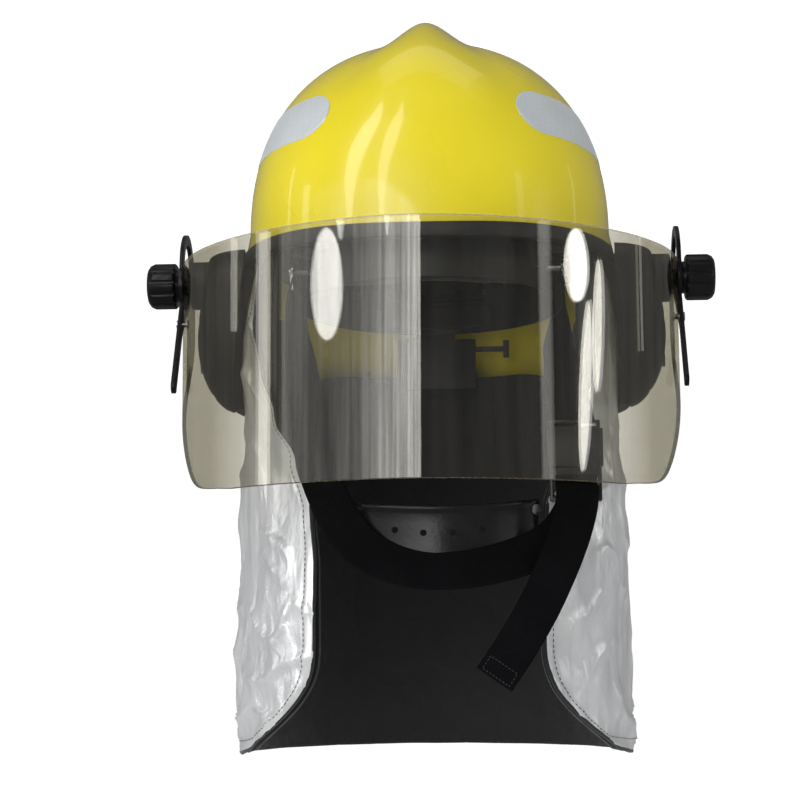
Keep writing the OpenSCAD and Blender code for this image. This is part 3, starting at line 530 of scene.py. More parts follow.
def carve(obj, cutters, sharp):
    """Cuts round holes and shades the piece again. A cutter is (start, end, radius) in millimetres."""
    work = bmesh.new()
    for start, end, radius in cutters:
        start, end = Vector(start), Vector(end)
        turn = (end - start).to_track_quat("Z", "Y").to_matrix().to_4x4()
        place = Matrix.Translation((start + end) / 2 * MM) @ turn
        bmesh.ops.create_cone(work, cap_ends=True, segments=40, radius1=radius * MM, radius2=radius * MM,
                              depth=(end - start).length * MM, matrix=place)
    mesh = bpy.data.meshes.new("cutter")
    work.to_mesh(mesh)
    work.free()
    tool = bpy.data.objects.new("cutter", mesh)
    scene.collection.objects.link(tool)
    cut = obj.modifiers.new("holes", "BOOLEAN")
    cut.operation = "DIFFERENCE"
    cut.solver = "EXACT"
    cut.object = tool
    settle(obj)
    bpy.data.objects.remove(tool)
    shade(obj, sharp)


def settle(obj):
    """Applies the piece's modifiers to its mesh."""
    bpy.context.view_layer.update()
    graph = bpy.context.evaluated_depsgraph_get()
    mesh = bpy.data.meshes.new_from_object(obj.evaluated_get(graph), depsgraph=graph)
    obj.modifiers.clear()
    obj.data = mesh


def stitches(name, path, outward, body, slot, material, step=3.0, length=2.1, width=0.45):
    """A row of thread stitches along path, lying on the cloth whose outside is outward."""
    path, outward = np.asarray(path, float), np.asarray(outward, float)
    lengths = walk(path)
    places = np.arange(step / 2, lengths[-1], step)

    def at(rows, d):
        return np.stack([np.interp(d, lengths, rows[:, k]) for k in range(3)], axis=1)

    mid, ahead, up = at(path, places), at(path, places + 0.2), unit(at(outward, places))
    along = unit(ahead - mid + 1e-9)
    across = unit(np.cross(up, along))
    points, faces = [], []
    shape = [(-0.5, 0.25, -0.25), (-0.34, 0.8, 0.5), (0, 1, 0.85), (0.34, 0.8, 0.5), (0.5, 0.25, -0.25)]
    for k in range(len(mid)):
        first = len(points)
        for t, wide, high in shape:
            centre = mid[k] + along[k] * length * t + up[k] * high * width * 0.5
            for q in range(6):
                turn = math.radians(q * 60)
                out = across[k] * math.cos(turn) + up[k] * math.sin(turn)
                points.append(centre + out * width * 0.5 * wide)
        faces += loft([range(6)] * len(shape), first=first)
    return piece(name, points, faces, slot, body, material=material, sharp=80)


def tube(name, path, radius, slot, body, sides):
    """A round cord along a path that never runs along up."""
    up = np.array([0.31, 0.17, 0.93])
    along = unit(np.gradient(path, axis=0))
    side = unit(np.cross(along, up))
    other = np.cross(side, along)
    turn = (np.arange(sides) * 2 * math.pi / sides)[None, :, None]
    rings = path[:, None] + radius * (side[:, None] * np.cos(turn) + other[:, None] * np.sin(turn))
    return piece(name, rings, loft(rings), slot, body)


def pad_swell(obj, cap, voxel, pressure):
    """Cloth simulation of the pad's cover over its foam. No point moves further than cap, in millimetres."""
    remesh = obj.modifiers.new("remesh", "REMESH")
    remesh.mode = "VOXEL"
    remesh.voxel_size = voxel * MM
    settle(obj)
    count = len(obj.data.vertices)
    before = np.zeros(count * 3)
    obj.data.vertices.foreach_get("co", before)
    cloth = obj.modifiers.new("cloth", "CLOTH")
    cloth.settings.quality = 6
    cloth.settings.mass = 0.25
    cloth.settings.tension_stiffness = 22
    cloth.settings.compression_stiffness = 18
    cloth.settings.bending_stiffness = 0.6
    cloth.settings.use_pressure = True
    cloth.settings.uniform_pressure_force = pressure
    cloth.settings.effector_weights.gravity = 0
    cloth.point_cache.frame_start = 1
    cloth.point_cache.frame_end = SIM_FRAMES
    for step in range(1, SIM_FRAMES + 1):
        scene.frame_set(step)
    graph = bpy.context.evaluated_depsgraph_get()
    swollen = obj.evaluated_get(graph).to_mesh()
    after = np.zeros(count * 3)
    swollen.vertices.foreach_get("co", after)
    obj.evaluated_get(graph).to_mesh_clear()
    scene.frame_set(1)
    obj.modifiers.clear()
    move = (after - before).reshape(-1, 3)
    size = np.linalg.norm(move, axis=1, keepdims=True)
    move *= np.minimum(1, cap * MM / np.maximum(size, 1e-9))
    obj.data.vertices.foreach_set("co", (before.reshape(-1, 3) + move).ravel())
    obj.data.update()
    fine = obj.modifiers.new("subdivision", "SUBSURF")
    fine.levels = fine.render_levels = 1
    settle(obj)
    obj.data.shade_smooth()


def cushion(name, rings, node, cap, voxel, pressure):
    """A pad's cover over its rings, swollen from inside."""
    obj = piece(name, np.array(rings), loft(rings), "pad_fabric", "shell", [node], sharp=70)
    pad_swell(obj, cap, voxel, pressure)
    return obj


# ---- Shell surface -----------------------------------------------------------------------------

# The dome's half width, lengths to the front and back, height and wall, from its middle at DOME_Y and DOME_Z.
HALF_W, FRONT, BACK, DOME_H, WALL = 113, 130, 135, 122.8, 3
DOME_Y, DOME_Z = 18, 28
PLAN_POWER, DOME_POWER = 2.25, 2.26
# The wall below the dome: its depth, the ear's bulge and half width in degrees, and the flare behind.
WALL_DEPTH, EAR_BULGE, EAR_WIDTH, FLARE = 148, 12, 26, 9
# Azimuth and level of the edge. The comb's half width and rise, by the angle up from the front.
RIM = [[0, 6], [60, 9], [70, 9], [84, -76], [108, -76], [150, -60], [180, -60]]
COMB_H, COMB_PEAK = 13.2, 13.7
COMB_WIDTH = [[12, 66], [30, 60], [45, 45], [62, 29], [90, 25], [130, 22], [175, 20]]
COMB_RISE = [[2, 0], [22, 3], [45, 9.2], [70, 12.9], [92, 13.7], [130, 10], [172, 0]]


def plan(a):
    """The unit plan of the shell at azimuth a in degrees, 0 at the front: a rounded square."""
    s, c = np.sin(np.radians(a)), np.cos(np.radians(a))
    k = (abs(s) ** PLAN_POWER + abs(c) ** PLAN_POWER) ** (-1 / PLAN_POWER)
    return s * k, -c * k


def folded(a):
    """The azimuth mirrored into 0 to 180 degrees."""
    return np.where(a > 180, 360 - a, a)


def reach(a):
    """The dome's length on that side of its middle."""
    return np.where(np.cos(np.radians(a)) > 0, FRONT, BACK)


def dome_at(a, e, inset, comb=1.0):
    """A point on the dome at azimuth a and elevation e, inset under its outer face."""
    a, e = np.broadcast_arrays(np.asarray(a, float), np.asarray(e, float))
    x, y = plan(a)
    c, s = (wave(np.radians(e)) ** (2 / DOME_POWER) for wave in (np.cos, np.sin))
    p = np.stack([(HALF_W - inset) * x * c, DOME_Y + (reach(a) - inset) * y * c,
                  DOME_Z + (DOME_H - inset) * s], -1)
    phi = np.degrees(np.arctan2(p[..., 2] - DOME_Z, DOME_Y - p[..., 1]))
    across = abs(p[..., 0]) / table(phi, COMB_WIDTH)
    lift = table(phi, COMB_RISE) * COMB_H / COMB_PEAK * (1 - ease(across)) * comb
    up = np.stack([np.zeros_like(phi), -np.cos(np.radians(phi)), np.sin(np.radians(phi))], -1)
    return p + up * lift[..., None]


def ear_bulge(a, z):
    """How far the wall bulges sideways over the ear."""
    drop = np.clip((DOME_Z - z) / WALL_DEPTH, 0, 1)
    return EAR_BULGE * np.exp(-(((a - 90) / EAR_WIDTH) ** 2)) * np.sin(math.pi * drop)


def wall_at(a, z, inset):
    """A point on the shell's wall below the dome, at azimuth a and level z."""
    a, z = np.broadcast_arrays(np.asarray(a, float), np.asarray(z, float))
    x, y = plan(a)
    ear = ear_bulge(folded(a), z)
    tail = FLARE * ease((folded(a) - 118) / 62) * np.clip((DOME_Z - z) / 90, 0, 1) ** 2
    side = np.where(a > 180, -1, 1)
    long = DOME_Y + (reach(a) - inset) * y + tail
    return np.stack([(HALF_W - inset) * x + side * ear, long, z + 0 * a], -1)


def rim_z(a):
    """The level of the shell's edge."""
    return table(folded(a), RIM)


def turn_stops():
    """Azimuths round the shell, closer together where the edge drops at the temples."""
    half = [*np.arange(0, 66, 1.5), *np.arange(66, 88, 0.5), *np.arange(88, 180, 1.5)]
    return np.array(half + [180] + [360 - a for a in reversed(half) if a > 0])


def shell_skin(turn, inset):
    """Rings from the edge up to the crown."""
    rim = rim_z(turn)
    rows = [wall_at(turn, mix(rim, DOME_Z, i / 12), inset) for i in range(12)]
    rows += [dome_at(turn, e, inset) for e in [*np.linspace(0, 80, 41), 82, 84, 86, 87.5, 89]]
    return rows


def outer_shell():
    """Both faces of the shell, joined at the edge and closed at the crown by a fan each."""
    turn = turn_stops()
    outer, inner = shell_skin(turn, 0), shell_skin(turn, WALL)
    rings = list(reversed(inner)) + outer
    crowns = [dome_at(0, 90, inset)[None] for inset in (WALL, 0)]
    points = np.concatenate([np.stack(rings).reshape(-1, 3), *crowns])
    faces = loft(rings, caps=False)
    m, last = len(turn), (len(rings) - 1) * len(turn)
    for j in range(m):
        q = (j + 1) % m
        faces.append((j, q, len(points) - 2))
        faces.append((last + j, last + q, len(points) - 1))
    piece("shell_moulding", points, faces, "shell_yellow", "shell", ["outer_shell"], sharp=50)


def rim_trim():
    """The rubber channel over the shell's edge: its section is in insets and heights."""
    turn = turn_stops()
    z = rim_z(turn)
    far, lip = 1.85, WALL + 1.85
    across = [(-far, 5.4), (-far * 0.9, 6.1), (-0.9, 6.5), (-0.35, 6.1), (-0.35, -0.35), (WALL + 0.35, -0.35),
              (WALL + 0.35, 6.1), (WALL + 0.9, 6.5), (lip - 0.2, 6.1), (lip, 5.4), (lip, 2),
              (lip + 0.1, -1.2), (lip - 0.3, -2.0), (lip - 1.1, -2.35), (WALL / 2, -2.4),
              (-far + 1.1, -2.35), (-far + 0.3, -2.0), (-far - 0.1, -1.2), (-far, 2)]
    rings = np.stack([wall_at(turn, z + dz, inset) for inset, dz in across], 1)
    piece("edge_trim", rings, loft(rings, closed=True), "trim_rubber", "shell", ["rim_trim"])


def reflective_patch(side, word):
    """Film with a round front end, tapered to the back, and a thin pressed border."""
    first, last, middle, high = 31, 128, 25.25, 15.5
    nose, taper = 0.1, 0.6
    stops = np.concatenate([np.linspace(0, nose, 16) ** 1.6 * nose ** -0.6, np.linspace(0.12, 1, 60)])
    across = np.linspace(-1, 1, 15)
    sink = np.where(abs(across) > 0.93, -0.18, -0.42)
    rings = []
    for t in stops:
        wide = math.sqrt(max(0, 1 - (1 - t / nose) ** 2)) * 0.98 + 0.02 if t < nose else 1
        wide = mix(1, 0.12, float(ease((t - taper) / (1 - taper)))) if t > taper else wide
        half = high / 2 * wide
        outer = dome_at(mix(first, last, t), middle + half * across, sink)
        inner = dome_at(mix(first, last, t), middle + half * across[::-1], -0.04)
        rings.append(np.concatenate([outer, inner]) * [side, 1, 1])
    name = "reflective_patch_" + word
    piece(name + "_film", np.stack(rings), loft(rings), "reflective_film", "shell", [name])


def impact_liner():
    """Bead foam liner with air channels pressed into its inner face."""
    turn = np.arange(0, 360, 2.0)
    outer_inset, wall, groove = WALL + 1.4, 18, 3.2
    elevations = np.concatenate([[0], np.linspace(4, 84, 34), [87, 89]])
    channel = np.exp(-(((turn % 40) - 20) / 3.2) ** 2)
    outer, inner = [wall_at(turn, 17.5, outer_inset)], [wall_at(turn, 17.5, outer_inset + wall)]
    outer.insert(0, wall_at(turn, 16, outer_inset + 1.5))
    inner.insert(0, wall_at(turn, 16, outer_inset + wall - 1.5))
    for e in elevations:
        strength = float(ease((e - 6) / 12) * (1 - ease((e - 66) / 10)))
        ring = float(np.exp(-((e - 52) / 2.6) ** 2))
        outer.append(dome_at(turn, e, outer_inset, 0.0))
        depth = groove * np.maximum(channel * strength, ring)
        inner.append(dome_at(turn, e, outer_inset + wall - depth, 0.0))
    rings = list(reversed(inner)) + outer
    piece("foam_liner", np.stack(rings), loft(rings), "liner_foam", "shell", ["impact_liner"], sharp=60)


SIDES = ((-1, "left"), (1, "right"))
outer_shell()
rim_trim()
for side, word in SIDES:
    reflective_patch(side, word)
impact_liner()

# ---- Side covers -------------------------------------------------------------------------------

COVER_FRONT, COVER_BACK, COVER_UP, COVER_DOWN = 24, 62, 22, 80
COVER_HOLE, COVER_RISE, COVER_GAP, COVER_WALL, COVER_POWER = 15.4, 21, 2.2, 2.4, 2.4


def shell_x(y, z):
    """Half width of the shell at a depth and level."""
    length = np.where(y < DOME_Y, FRONT, BACK)
    v = np.clip((y - DOME_Y) / length, -0.99, 0.99)
    x = (1 - abs(v) ** PLAN_POWER) ** (1 / PLAN_POWER)
    ear = ear_bulge(90 + np.degrees(np.arcsin(v)), z)
    return HALF_W * x + np.where(z <= DOME_Z, ear, 0)


def side_cover(side, word):
    """A swollen shield round the hub's hole, with a groove near the hole and one near its edge."""
    b = np.radians(np.arange(0, 360, 4.0))
    c, s = np.cos(b), np.sin(b)
    k = (abs(c) ** COVER_POWER + abs(s) ** COVER_POWER) ** (-1 / COVER_POWER)
    edge = np.stack([c * k * np.where(c > 0, COVER_BACK, COVER_FRONT),
                     s * k * np.where(s > 0, COVER_UP, COVER_DOWN)], -1)
    hole = np.stack([c, s], -1) * COVER_HOLE
    steps = np.concatenate([[0, 0.012, 0.03], np.linspace(0.06, 1, 30)])

    def row(t, sink):
        r = 1 - t
        q = mix(hole, edge, r)
        swell = (1 - r ** 2.6) ** 0.6
        base = shell_x(q[:, 0], q[:, 1]) + COVER_GAP
        round_edge = 1.2 * (1 - min(1.0, t / 0.03))
        groove = 0.7 * math.exp(-(((t - 0.16) / 0.022) ** 2)) + 0.6 * math.exp(-(((t - 0.86) / 0.02) ** 2))
        high = np.maximum(1.44, COVER_RISE * swell) - round_edge - groove
        x = base + np.maximum(high - sink, 0)
        return np.stack([side * x, q[:, 0], q[:, 1]], -1)

    rings = [row(t, 0) for t in steps] + [row(t, COVER_WALL) for t in steps[::-1]]
    name = "side_cover_" + word
    piece(name + "_moulding", np.stack(rings), loft(rings, closed=True), "cover_black", "shell", [name])


for side, word in SIDES:
    side_cover(side, word)

# ---- Visor -------------------------------------------------------------------------------------

VISOR_X, VISOR_FRONT, VISOR_WALL, VISOR_POWER = 152.85, 148, 2.5, 1.8
VISOR_TOP, VISOR_BOTTOM, FLANK_FRONT, FLANK_BACK = 9, -136.5, -8, 17
SWEEP, CORNER_LOW, CORNER_HIGH = 1.22, 8, 9
STUD_HOLE, RIVET_HOLE, RIVETS = 5.05, 1.7, [(14.2, -2), (-15, -27.3)]


def visor_arc(inset):
    """The sheet's plan from one back corner round the front to the other."""
    curve = np.radians(np.linspace(-90, 90, 181))
    s = abs(np.sin(curve)) ** (2 / VISOR_POWER * 0.9)
    w, length = VISOR_X - inset, VISOR_FRONT + FLANK_FRONT - inset
    y = FLANK_FRONT - length * np.maximum(0, 1 - s**VISOR_POWER) ** (1 / VISOR_POWER)
    flank = FLANK_FRONT + (FLANK_BACK - FLANK_FRONT) * np.sin(np.radians(np.linspace(4, 90, 22)))
    back = np.stack([np.full(22, w), flank], -1)
    return np.concatenate([back[::-1] * [-1, 1], np.stack([np.sign(curve) * w * s, y], -1), back])


def visor():
    """The bent sheet with round corners, its edges in materials of their own: a painted glow, and painted
    shade on the edges low down.
    """
    outer, inner = visor_arc(0), visor_arc(VISOR_WALL)
    y = np.maximum(outer[:, 1], -96)
    swept = SWEEP / 2 * (y + 60 + np.sqrt((y + 60) ** 2 + 100)) - 0.83 * np.clip((-84 - y) / 12, 0, 1)
    past_low, past_high = (outer[:, 1] - FLANK_BACK + r for r in (CORNER_LOW, CORNER_HIGH))
    low = VISOR_BOTTOM + swept + CORNER_LOW - np.sqrt(CORNER_LOW**2 - np.maximum(0, past_low) ** 2)
    corner = VISOR_TOP - CORNER_HIGH + np.sqrt(np.maximum(0, CORNER_HIGH**2 - past_high**2))
    high = np.where(past_high > 0, corner, VISOR_TOP)
    rise, bevel = np.linspace(0, 1, 25), 0.45

    def skin(line, inset):
        z = low[:, None] + inset + (high - low - 2 * inset)[:, None] * rise
        xy = np.repeat(line[:, None], len(rise), 1)
        return np.concatenate([xy, z[..., None]], -1)

    face, back = skin(outer, bevel), skin(inner, bevel)
    edge_out, edge_in = skin(mix(outer, inner, 0.18), 0), skin(mix(outer, inner, 0.82), 0)
    rings = [np.concatenate([face[i], edge_out[i, -1:], edge_in[i, -1:], back[i, ::-1], edge_in[i, :1],
                             edge_out[i, :1]]) for i in range(len(outer))]
    obj = piece("visor_sheet", np.stack(rings), loft(rings, caps=False), "visor_clear", None, sharp=30)
    obj.data.materials.append(painted_glow_rim)
    obj.data.materials.append(painted_shade_rim)
    work = bmesh.new()
    work.from_mesh(obj.data)
    work.verts.ensure_lookup_table()
    m, rows = len(rings[0]), len(rise)
    edge_points = (rows, rows + 1, 2 * rows + 2, 2 * rows + 3)
    for first in (0, (len(rings) - 1) * m):
        quads = [(k, k + 1, 2 * rows - k, 2 * rows + 1 - k) for k in range(rows - 1)]
        quads += [(rows - 1, rows, rows + 1, rows + 2), (2 * rows + 1, 2 * rows + 2, 2 * rows + 3, 0)]
        for quad in quads:
            work.faces.new([work.verts[first + k] for k in quad])
    bmesh.ops.recalc_face_normals(work, faces=work.faces)
    for f in work.faces:
        on_edge = sum(v.index % m in edge_points for v in f.verts) >= 2
        on_end = all(abs(v.co.y - FLANK_BACK * MM) < 1e-6 for v in f.verts)
        # Edge faces low on the sheet take the painted shade copy, the others the painted glow copy.
        under = f.calc_center_median().z < -0.05
        f.material_index = (2 if under else 1) if on_edge or on_end else 0
    work.to_mesh(obj.data)
    work.free()
    holes = [(s, 0, 0, STUD_HOLE) for s in (-1, 1)]
    holes += [(s, y, z, RIVET_HOLE) for s in (-1, 1) for y, z in RIVETS]
    carve(obj, [((s * 140, y, z), (s * 160, y, z), r) for s, y, z, r in holes], 30)
    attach(obj, "visor_frame")
    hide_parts("visor")


visor()

# ---- Pads --------------------------------------------------------------------------------------

BAND_Y, BAND_W, BAND_L = 14, 82, 101
CUSHION_AT, CUSHION_R = 86, (0.5, 14, 24, 28, 29.2, 28, 24, 14, 0.5)
CHEEK_MIDDLE = np.array([98.5, 40])
CHEEK = np.array([[101, 14], [105, 18], [107, 30], [107, 46], [104, 60], [97, 66], [91, 60], [89, 38],
                  [91, 20], [97, 14]], float)


def band_pad(name, node, start, end, high, depth, mid_z, taper, cap):
    """A pad along the inside of the headband, thinner at its ends."""
    turn = np.arange(24) * 2 * math.pi / 24
    c, s = np.cos(turn), np.sin(turn)
    rings = []
    for t in np.linspace(0, 1, 61):
        a, spread = math.radians(mix(start, end, t)), abs(2 * t - 1)
        close = 1 - spread**6
        scale = (1 - taper * spread**4) * mix(0.35, 1, close**0.5)
        out = np.sign(c) * abs(c) ** 0.7 * depth / 2 * mix(0.3, 1, close) - 0.8 - depth / 2
        up = np.sign(s) * abs(s) ** 0.55 * high / 2 * scale
        x, y = (BAND_W + out) * math.sin(a), BAND_Y - (BAND_L + out) * math.cos(a)
        rings.append(np.stack([x, y, mid_z + up], -1))
    cushion(name, rings, node, cap, 3.2, 5.0)


def round_pad():
    """The crown pad: a soft disc over the crossing of the crown straps."""
    turn = np.radians(np.arange(0, 360, 10))
    heights = (0, -0.2, 0.3, 1.4, 2.6, 3.7, 4.6, 4.8, 4.8)
    rings = [np.stack([r * np.cos(turn), BAND_Y + r * np.sin(turn), np.full(36, CUSHION_AT + z)], -1)
             for r, z in zip(CUSHION_R, heights)]
    cushion("crown_pad_cushion", rings, "crown_pad", 1.2, 3.0, 4.0)


def cheek_pad(side, word):
    """A block of foam beside the cheek, its section smoothed and drawn in at top and bottom."""
    section = np.array([spline([CHEEK[(k // 4 + o) % 10] for o in (-1, 0, 1, 2)], k % 4 / 4)
                        for k in range(40)])
    rings = []
    for t in np.linspace(0, 1, 25):
        size = (1 - abs(2 * t - 1) ** 3.2) ** 0.42 * 0.93 + 0.05
        ring = CHEEK_MIDDLE + (section - CHEEK_MIDDLE) * [size, size * 0.98]
        rings.append(np.concatenate([ring * [side, 1], np.full((40, 1), mix(-67, -15, t))], 1))
    name = "cheek_pad_" + word
    cushion(name + "_cushion", rings, name, 2.5, 3.6, 5.0)


band_pad("brow_cushion", "brow_pad", -56, 56, 27, 8.4, -3, 0.35, 1.6)
band_pad("nape_cushion", "nape_pad", 150, 210, 21, 5.6, -2, 0.2, 1.2)
round_pad()
for side, word in SIDES:
    cheek_pad(side, word)

# ---- Neck curtain ------------------------------------------------------------------------------

# Depth and azimuth of the curtain's front edge, then azimuth and level of its top.
CURTAIN_EDGE = [[30, 66], [62, 61], [90, 52], [115, 41], [145, 35], [180, 33.5]]
CURTAIN_TOP = [[66, 11], [74, 0], [84, -50], [108, -56], [150, -40], [180, -40]]
HEM, CLOTH_WIDTH, CLOTH_DROP = -290, 270, 235


def curtain_at(s, t, inset, front):
    """A point of the curtain: s runs from its front edge to the middle of the back, t from top to hem."""
    top = table(folded(mix(front, 180, s)), CURTAIN_TOP)
    z = mix(top, HEM + 3 * (1 - np.clip(s / 0.12, 0, 1)) ** 2, t)
    edge = table(np.minimum(-z, 180), CURTAIN_EDGE) + 36.5 * np.clip((-z - 226) / 64, 0, 1) ** 2.45
    a = mix(np.where(z > -100, np.minimum(front, edge), edge), 180, s)
    wall = wall_at(a, z, WALL + 3.2 + inset)
    a = np.radians(a)
    length = np.where(np.cos(a) > 0, 100, 112)
    hang = np.stack([(121 - inset) * np.sin(a), 30 - (length - inset) * np.cos(a), z], -1)
    return mix(wall, hang, ease((-z - 58) / 72)[..., None])


def relief(points, s, t, seed, depth):
    """Soft folds that grow towards the hem, and sharper creases, in millimetres outwards."""
    out = np.zeros(s.size)
    for k, ((x, y, z), u, v) in enumerate(zip(points.reshape(-1, 3), s.flat, t.flat)):
        sway = noise.noise((x * 0.011 + seed, y * 0.011, z * 0.004))
        fold = math.sin(u * 34 + 3.2 * sway + seed) * (0.25 + 0.75 * v)
        slow = noise.noise((x * 0.018 + seed, y * 0.018, z * 0.011 + seed)) * 2.2
        slant = noise.noise((x * 0.03 + z * 0.013, y * 0.03 + seed, z * 0.021 - x * 0.012))
        crease = (1 - min(1.0, abs(slant) * 4.5)) ** 2
        small = noise.noise((x * 0.085 + seed, y * 0.085, z * 0.045))
        tiny = 1 - min(1.0, abs(noise.noise((x * 0.06 - seed, y * 0.06, z * 0.075 + x * 0.02))) * 5)
        out[k] = depth * (0.9 * fold + 1.5 * slow + 1.2 * crease + 0.4 * small + 0.15 * tiny * tiny)
    return out.reshape(s.shape) * ease(t / 0.16)


def facing_out(grid, guide):
    """Unit normals of a grid of points, on the guide's side."""
    normal = unit(np.cross(np.gradient(grid, axis=0), np.gradient(grid, axis=1)))
    return normal * np.sign(np.sum(normal * guide, -1, keepdims=True) + 1e-9)


class Curtain:
    """One layer of the curtain as a thick sheet, with the grid of its outer face for what is sewn to it."""

    def __init__(self, name, node, inset, front, slot, depth, seed, cols=240, rows=100):
        across = np.linspace(-1, 1, 2 * cols + 1)
        across = np.sign(across) * (1 - (1 - abs(across)) ** 1.25)
        s, t = np.broadcast_arrays(1 - abs(across)[None, :], np.linspace(0, 1, rows + 1)[:, None])
        mirror = np.stack([np.where(across < 0, -1, 1) + 0 * s, 1 + 0 * s, 1 + 0 * s], -1)
        base = curtain_at(s, t, inset, front) * mirror
        out = facing_out(base, (base - [0, 30, 0]) * [1, 1, 0])
        edge = np.minimum(np.minimum(s * 3.2, (1 - t)) / 0.045, 1)
        lift = relief(base, s, t, seed, depth) * (0.35 + 0.65 * edge)
        outer = base + out * (np.where(lift < 0, 0.4, 1) * lift)[..., None]
        normal = facing_out(outer, out)
        self.from_front, self.above_hem = s * CLOTH_WIDTH, (1 - t) * CLOTH_DROP
        margin = np.minimum(self.from_front, self.above_hem)
        hem, hem_line = ease(1 - margin / 7.5), np.exp(-((margin - 7.0) ** 2))
        outer = outer + normal * (0.55 * hem - 0.45 * hem_line)[..., None]
        points, faces = thick_sheet(outer, outer - normal * (0.9 + 0.9 * hem)[..., None])
        self.slot, self.outer, self.normal = slot, outer, normal
        self.obj = piece(name, points, faces, slot, "shell", [node], sharp=75)

    def half(self, side):
        """The columns of one side, from its front edge to the middle of the back."""
        cols = self.outer.shape[1]
        return range(0, cols // 2 + 1) if side < 0 else range(cols - 1, cols // 2 - 1, -1)

    def seam(self, name, side, gap, thread, *size):
        """Stitches a gap in from one side's front edge and above its hem."""
        half = [j for j in self.half(side) if self.from_front[0, j] >= gap]
        last = next(i for i in range(len(self.outer) - 1, 0, -1) if self.above_hem[i, 0] >= gap)
        steps = [(i, half[0]) for i in range(5, last)] + [(last, j) for j in half]
        line, up = (np.array([grid[k] for k in steps]) for grid in (self.outer, self.normal))
        return stitches(name, line, up, "shell", self.slot, thread, *size)

    def piping(self, name, side):
        """The bound edge down one side's front and along its hem."""
        half, rows = self.half(side), len(self.outer)
        rim = [(i, half[0]) for i in range(rows)] + [(rows - 1, j) for j in half][1:]
        path = np.array([self.outer[k] - self.normal[k] * 0.9 for k in rim])
        return tube(name, path[::2], 1.25, "lining_black", "shell", 8)


def curtains():
    """The silver curtain with its seams and bound edge, and the black lining with its seams."""
    cloth = Curtain("silver_curtain", "neck_curtain", 0, 66, "aluminised_cloth", 2.2, 1.7)
    lining = Curtain("black_lining", "curtain_lining", 3.9, 55, "lining_black", 0.55, 5.3, 200, 80)
    for side, word in SIDES:
        cloth.seam("curtain_stitches_" + word, side, 5.2, thread_dark, 3.2, 2.3, 0.5)
        cloth.piping("curtain_piping_" + word, side)
    seams = [lining.seam("lining_stitches_" + word, side, 9, thread_pale, 2.6, 2.0, 0.42)
             for side, word in SIDES]


curtains()

# ---- Straps ------------------------------------------------------------------------------------

# Each route is a list of (middle, width direction) along the strap.
CHIN_ROUTE = [
    ((-79.4, -38, -6), (0.1, 1, 0)), ((-79, -42, -28), (0.4, 0.9, 0)), ((-76, -49, -58), (0.66, 0.6, 0)),
    ((-71.5, -56, -88), (0.86, 0.1, 0.1)), ((-67, -63, -113), (0.88, -0.3, 0.2)),
    ((-61, -68, -132), (0.82, -0.2, 0.42)), ((-53, -72, -149), (0.66, 0, 0.66)),
    ((-42, -78, -165), (0.42, 0.2, 0.8)), ((-27, -84, -176), (0.2, 0.34, 0.86)),
    ((-10, -88, -182), (0.06, 0.42, 0.9)), ((7, -89, -184), (0, 0.44, 0.9)),
    ((24, -88, -183), (-0.06, 0.42, 0.9)),
    ((38, -83.5, -180), (-0.2, 0.34, 0.86)), ((50, -77.5, -176.5), (-0.42, 0.2, 0.8)),
    ((62, -71, -172), (-0.6, 0, 0.7)), ((74, -66.8, -164), (-0.8, 0, 0.5)),
    ((82, -66, -154), (-0.96, 0, 0.2)), ((86, -65.8, -144), (-1, 0, 0)), ((86, -65.8, -128), (-1, 0, 0))]
SHORT_ROUTE = [
    ((79.4, -38, -6), (0.1, -1, 0)), ((78, -44, -26), (0.3, -0.95, 0)), ((77.5, -52, -52), (0.66, -0.7, 0)),
    ((82, -58, -76), (0.98, -0.1, 0)), ((86, -60, -98.2), (1, 0, 0))]
TAIL_ROUTE = [
    ((87, -70.4, -134), (1, 0, 0)), ((86, -72, -146), (1, 0, 0)), ((83, -74.4, -158), (0.98, 0, -0.2)),
    ((78, -77.6, -172), (0.95, 0, -0.3)), ((71, -80, -188), (0.92, 0, -0.38)),
    ((62, -82, -206), (0.9, 0, -0.42)), ((50, -83, -226), (0.92, 0, -0.38)),
    ((37, -83.6, -245), (0.96, 0, -0.26))]
STRAP_WIDTH, STRAP_THICK = 24, 1.6


def smooth_route(route, parts):
    """Stations along a spline through the route's points, with width directions."""
    mids = [np.array(p, float) for p, _ in route]
    sides = [unit(np.array(q, float)) for _, q in route]
    n = len(route) - 1
    stations = []
    for i in range(n):
        four = [mids[max(i - 1, 0)], mids[i], mids[i + 1], mids[min(i + 2, n)]]
        for t in np.arange(parts) / parts:
            stations.append((spline(four, t), mix(sides[i], sides[i + 1], float(ease(t)))))
    return stations + [(mids[-1], sides[-1])]


def ribbon(name, stations, width, thick, body, stands_for, wave=0.0):
    """A woven strap with rolled edges. Its UV map is in metres, along and across."""
    mids, side = (np.array(rows) for rows in zip(*stations))
    along = unit(np.gradient(mids, axis=0))
    side = unit(side - np.sum(side * along, 1, keepdims=True) * along)
    face = np.cross(along, side)
    length = walk(mids)
    half = width / 2
    top = [(half * k, 0.5) for k in (0.8, 0.55, 0.28, 0, -0.28, -0.55, -0.8)]
    top = [(half - 0.12, 0.34), (half - 0.55, 0.47), *top, (-half + 0.55, 0.47), (-half + 0.12, 0.34)]
    spots = [(half, 0), *top, (-half, 0), *((u, -v) for u, v in reversed(top))]
    rings, uv = [], []
    for i in range(len(mids)):
        cup = wave * math.sin(length[i] * 0.11 + 0.7)
        rings.append([mids[i] + side[i] * u + face[i] * (v * thick + cup * (u / half) ** 2)
                      for u, v in spots])
        uv.append([(length[i] * MM, u * MM + v * 0.0004) for u, v in spots])
    piece(name, np.array(rings), loft(rings), "webbing", body, stands_for, sharp=60, uv=uv)
    return mids, side, face


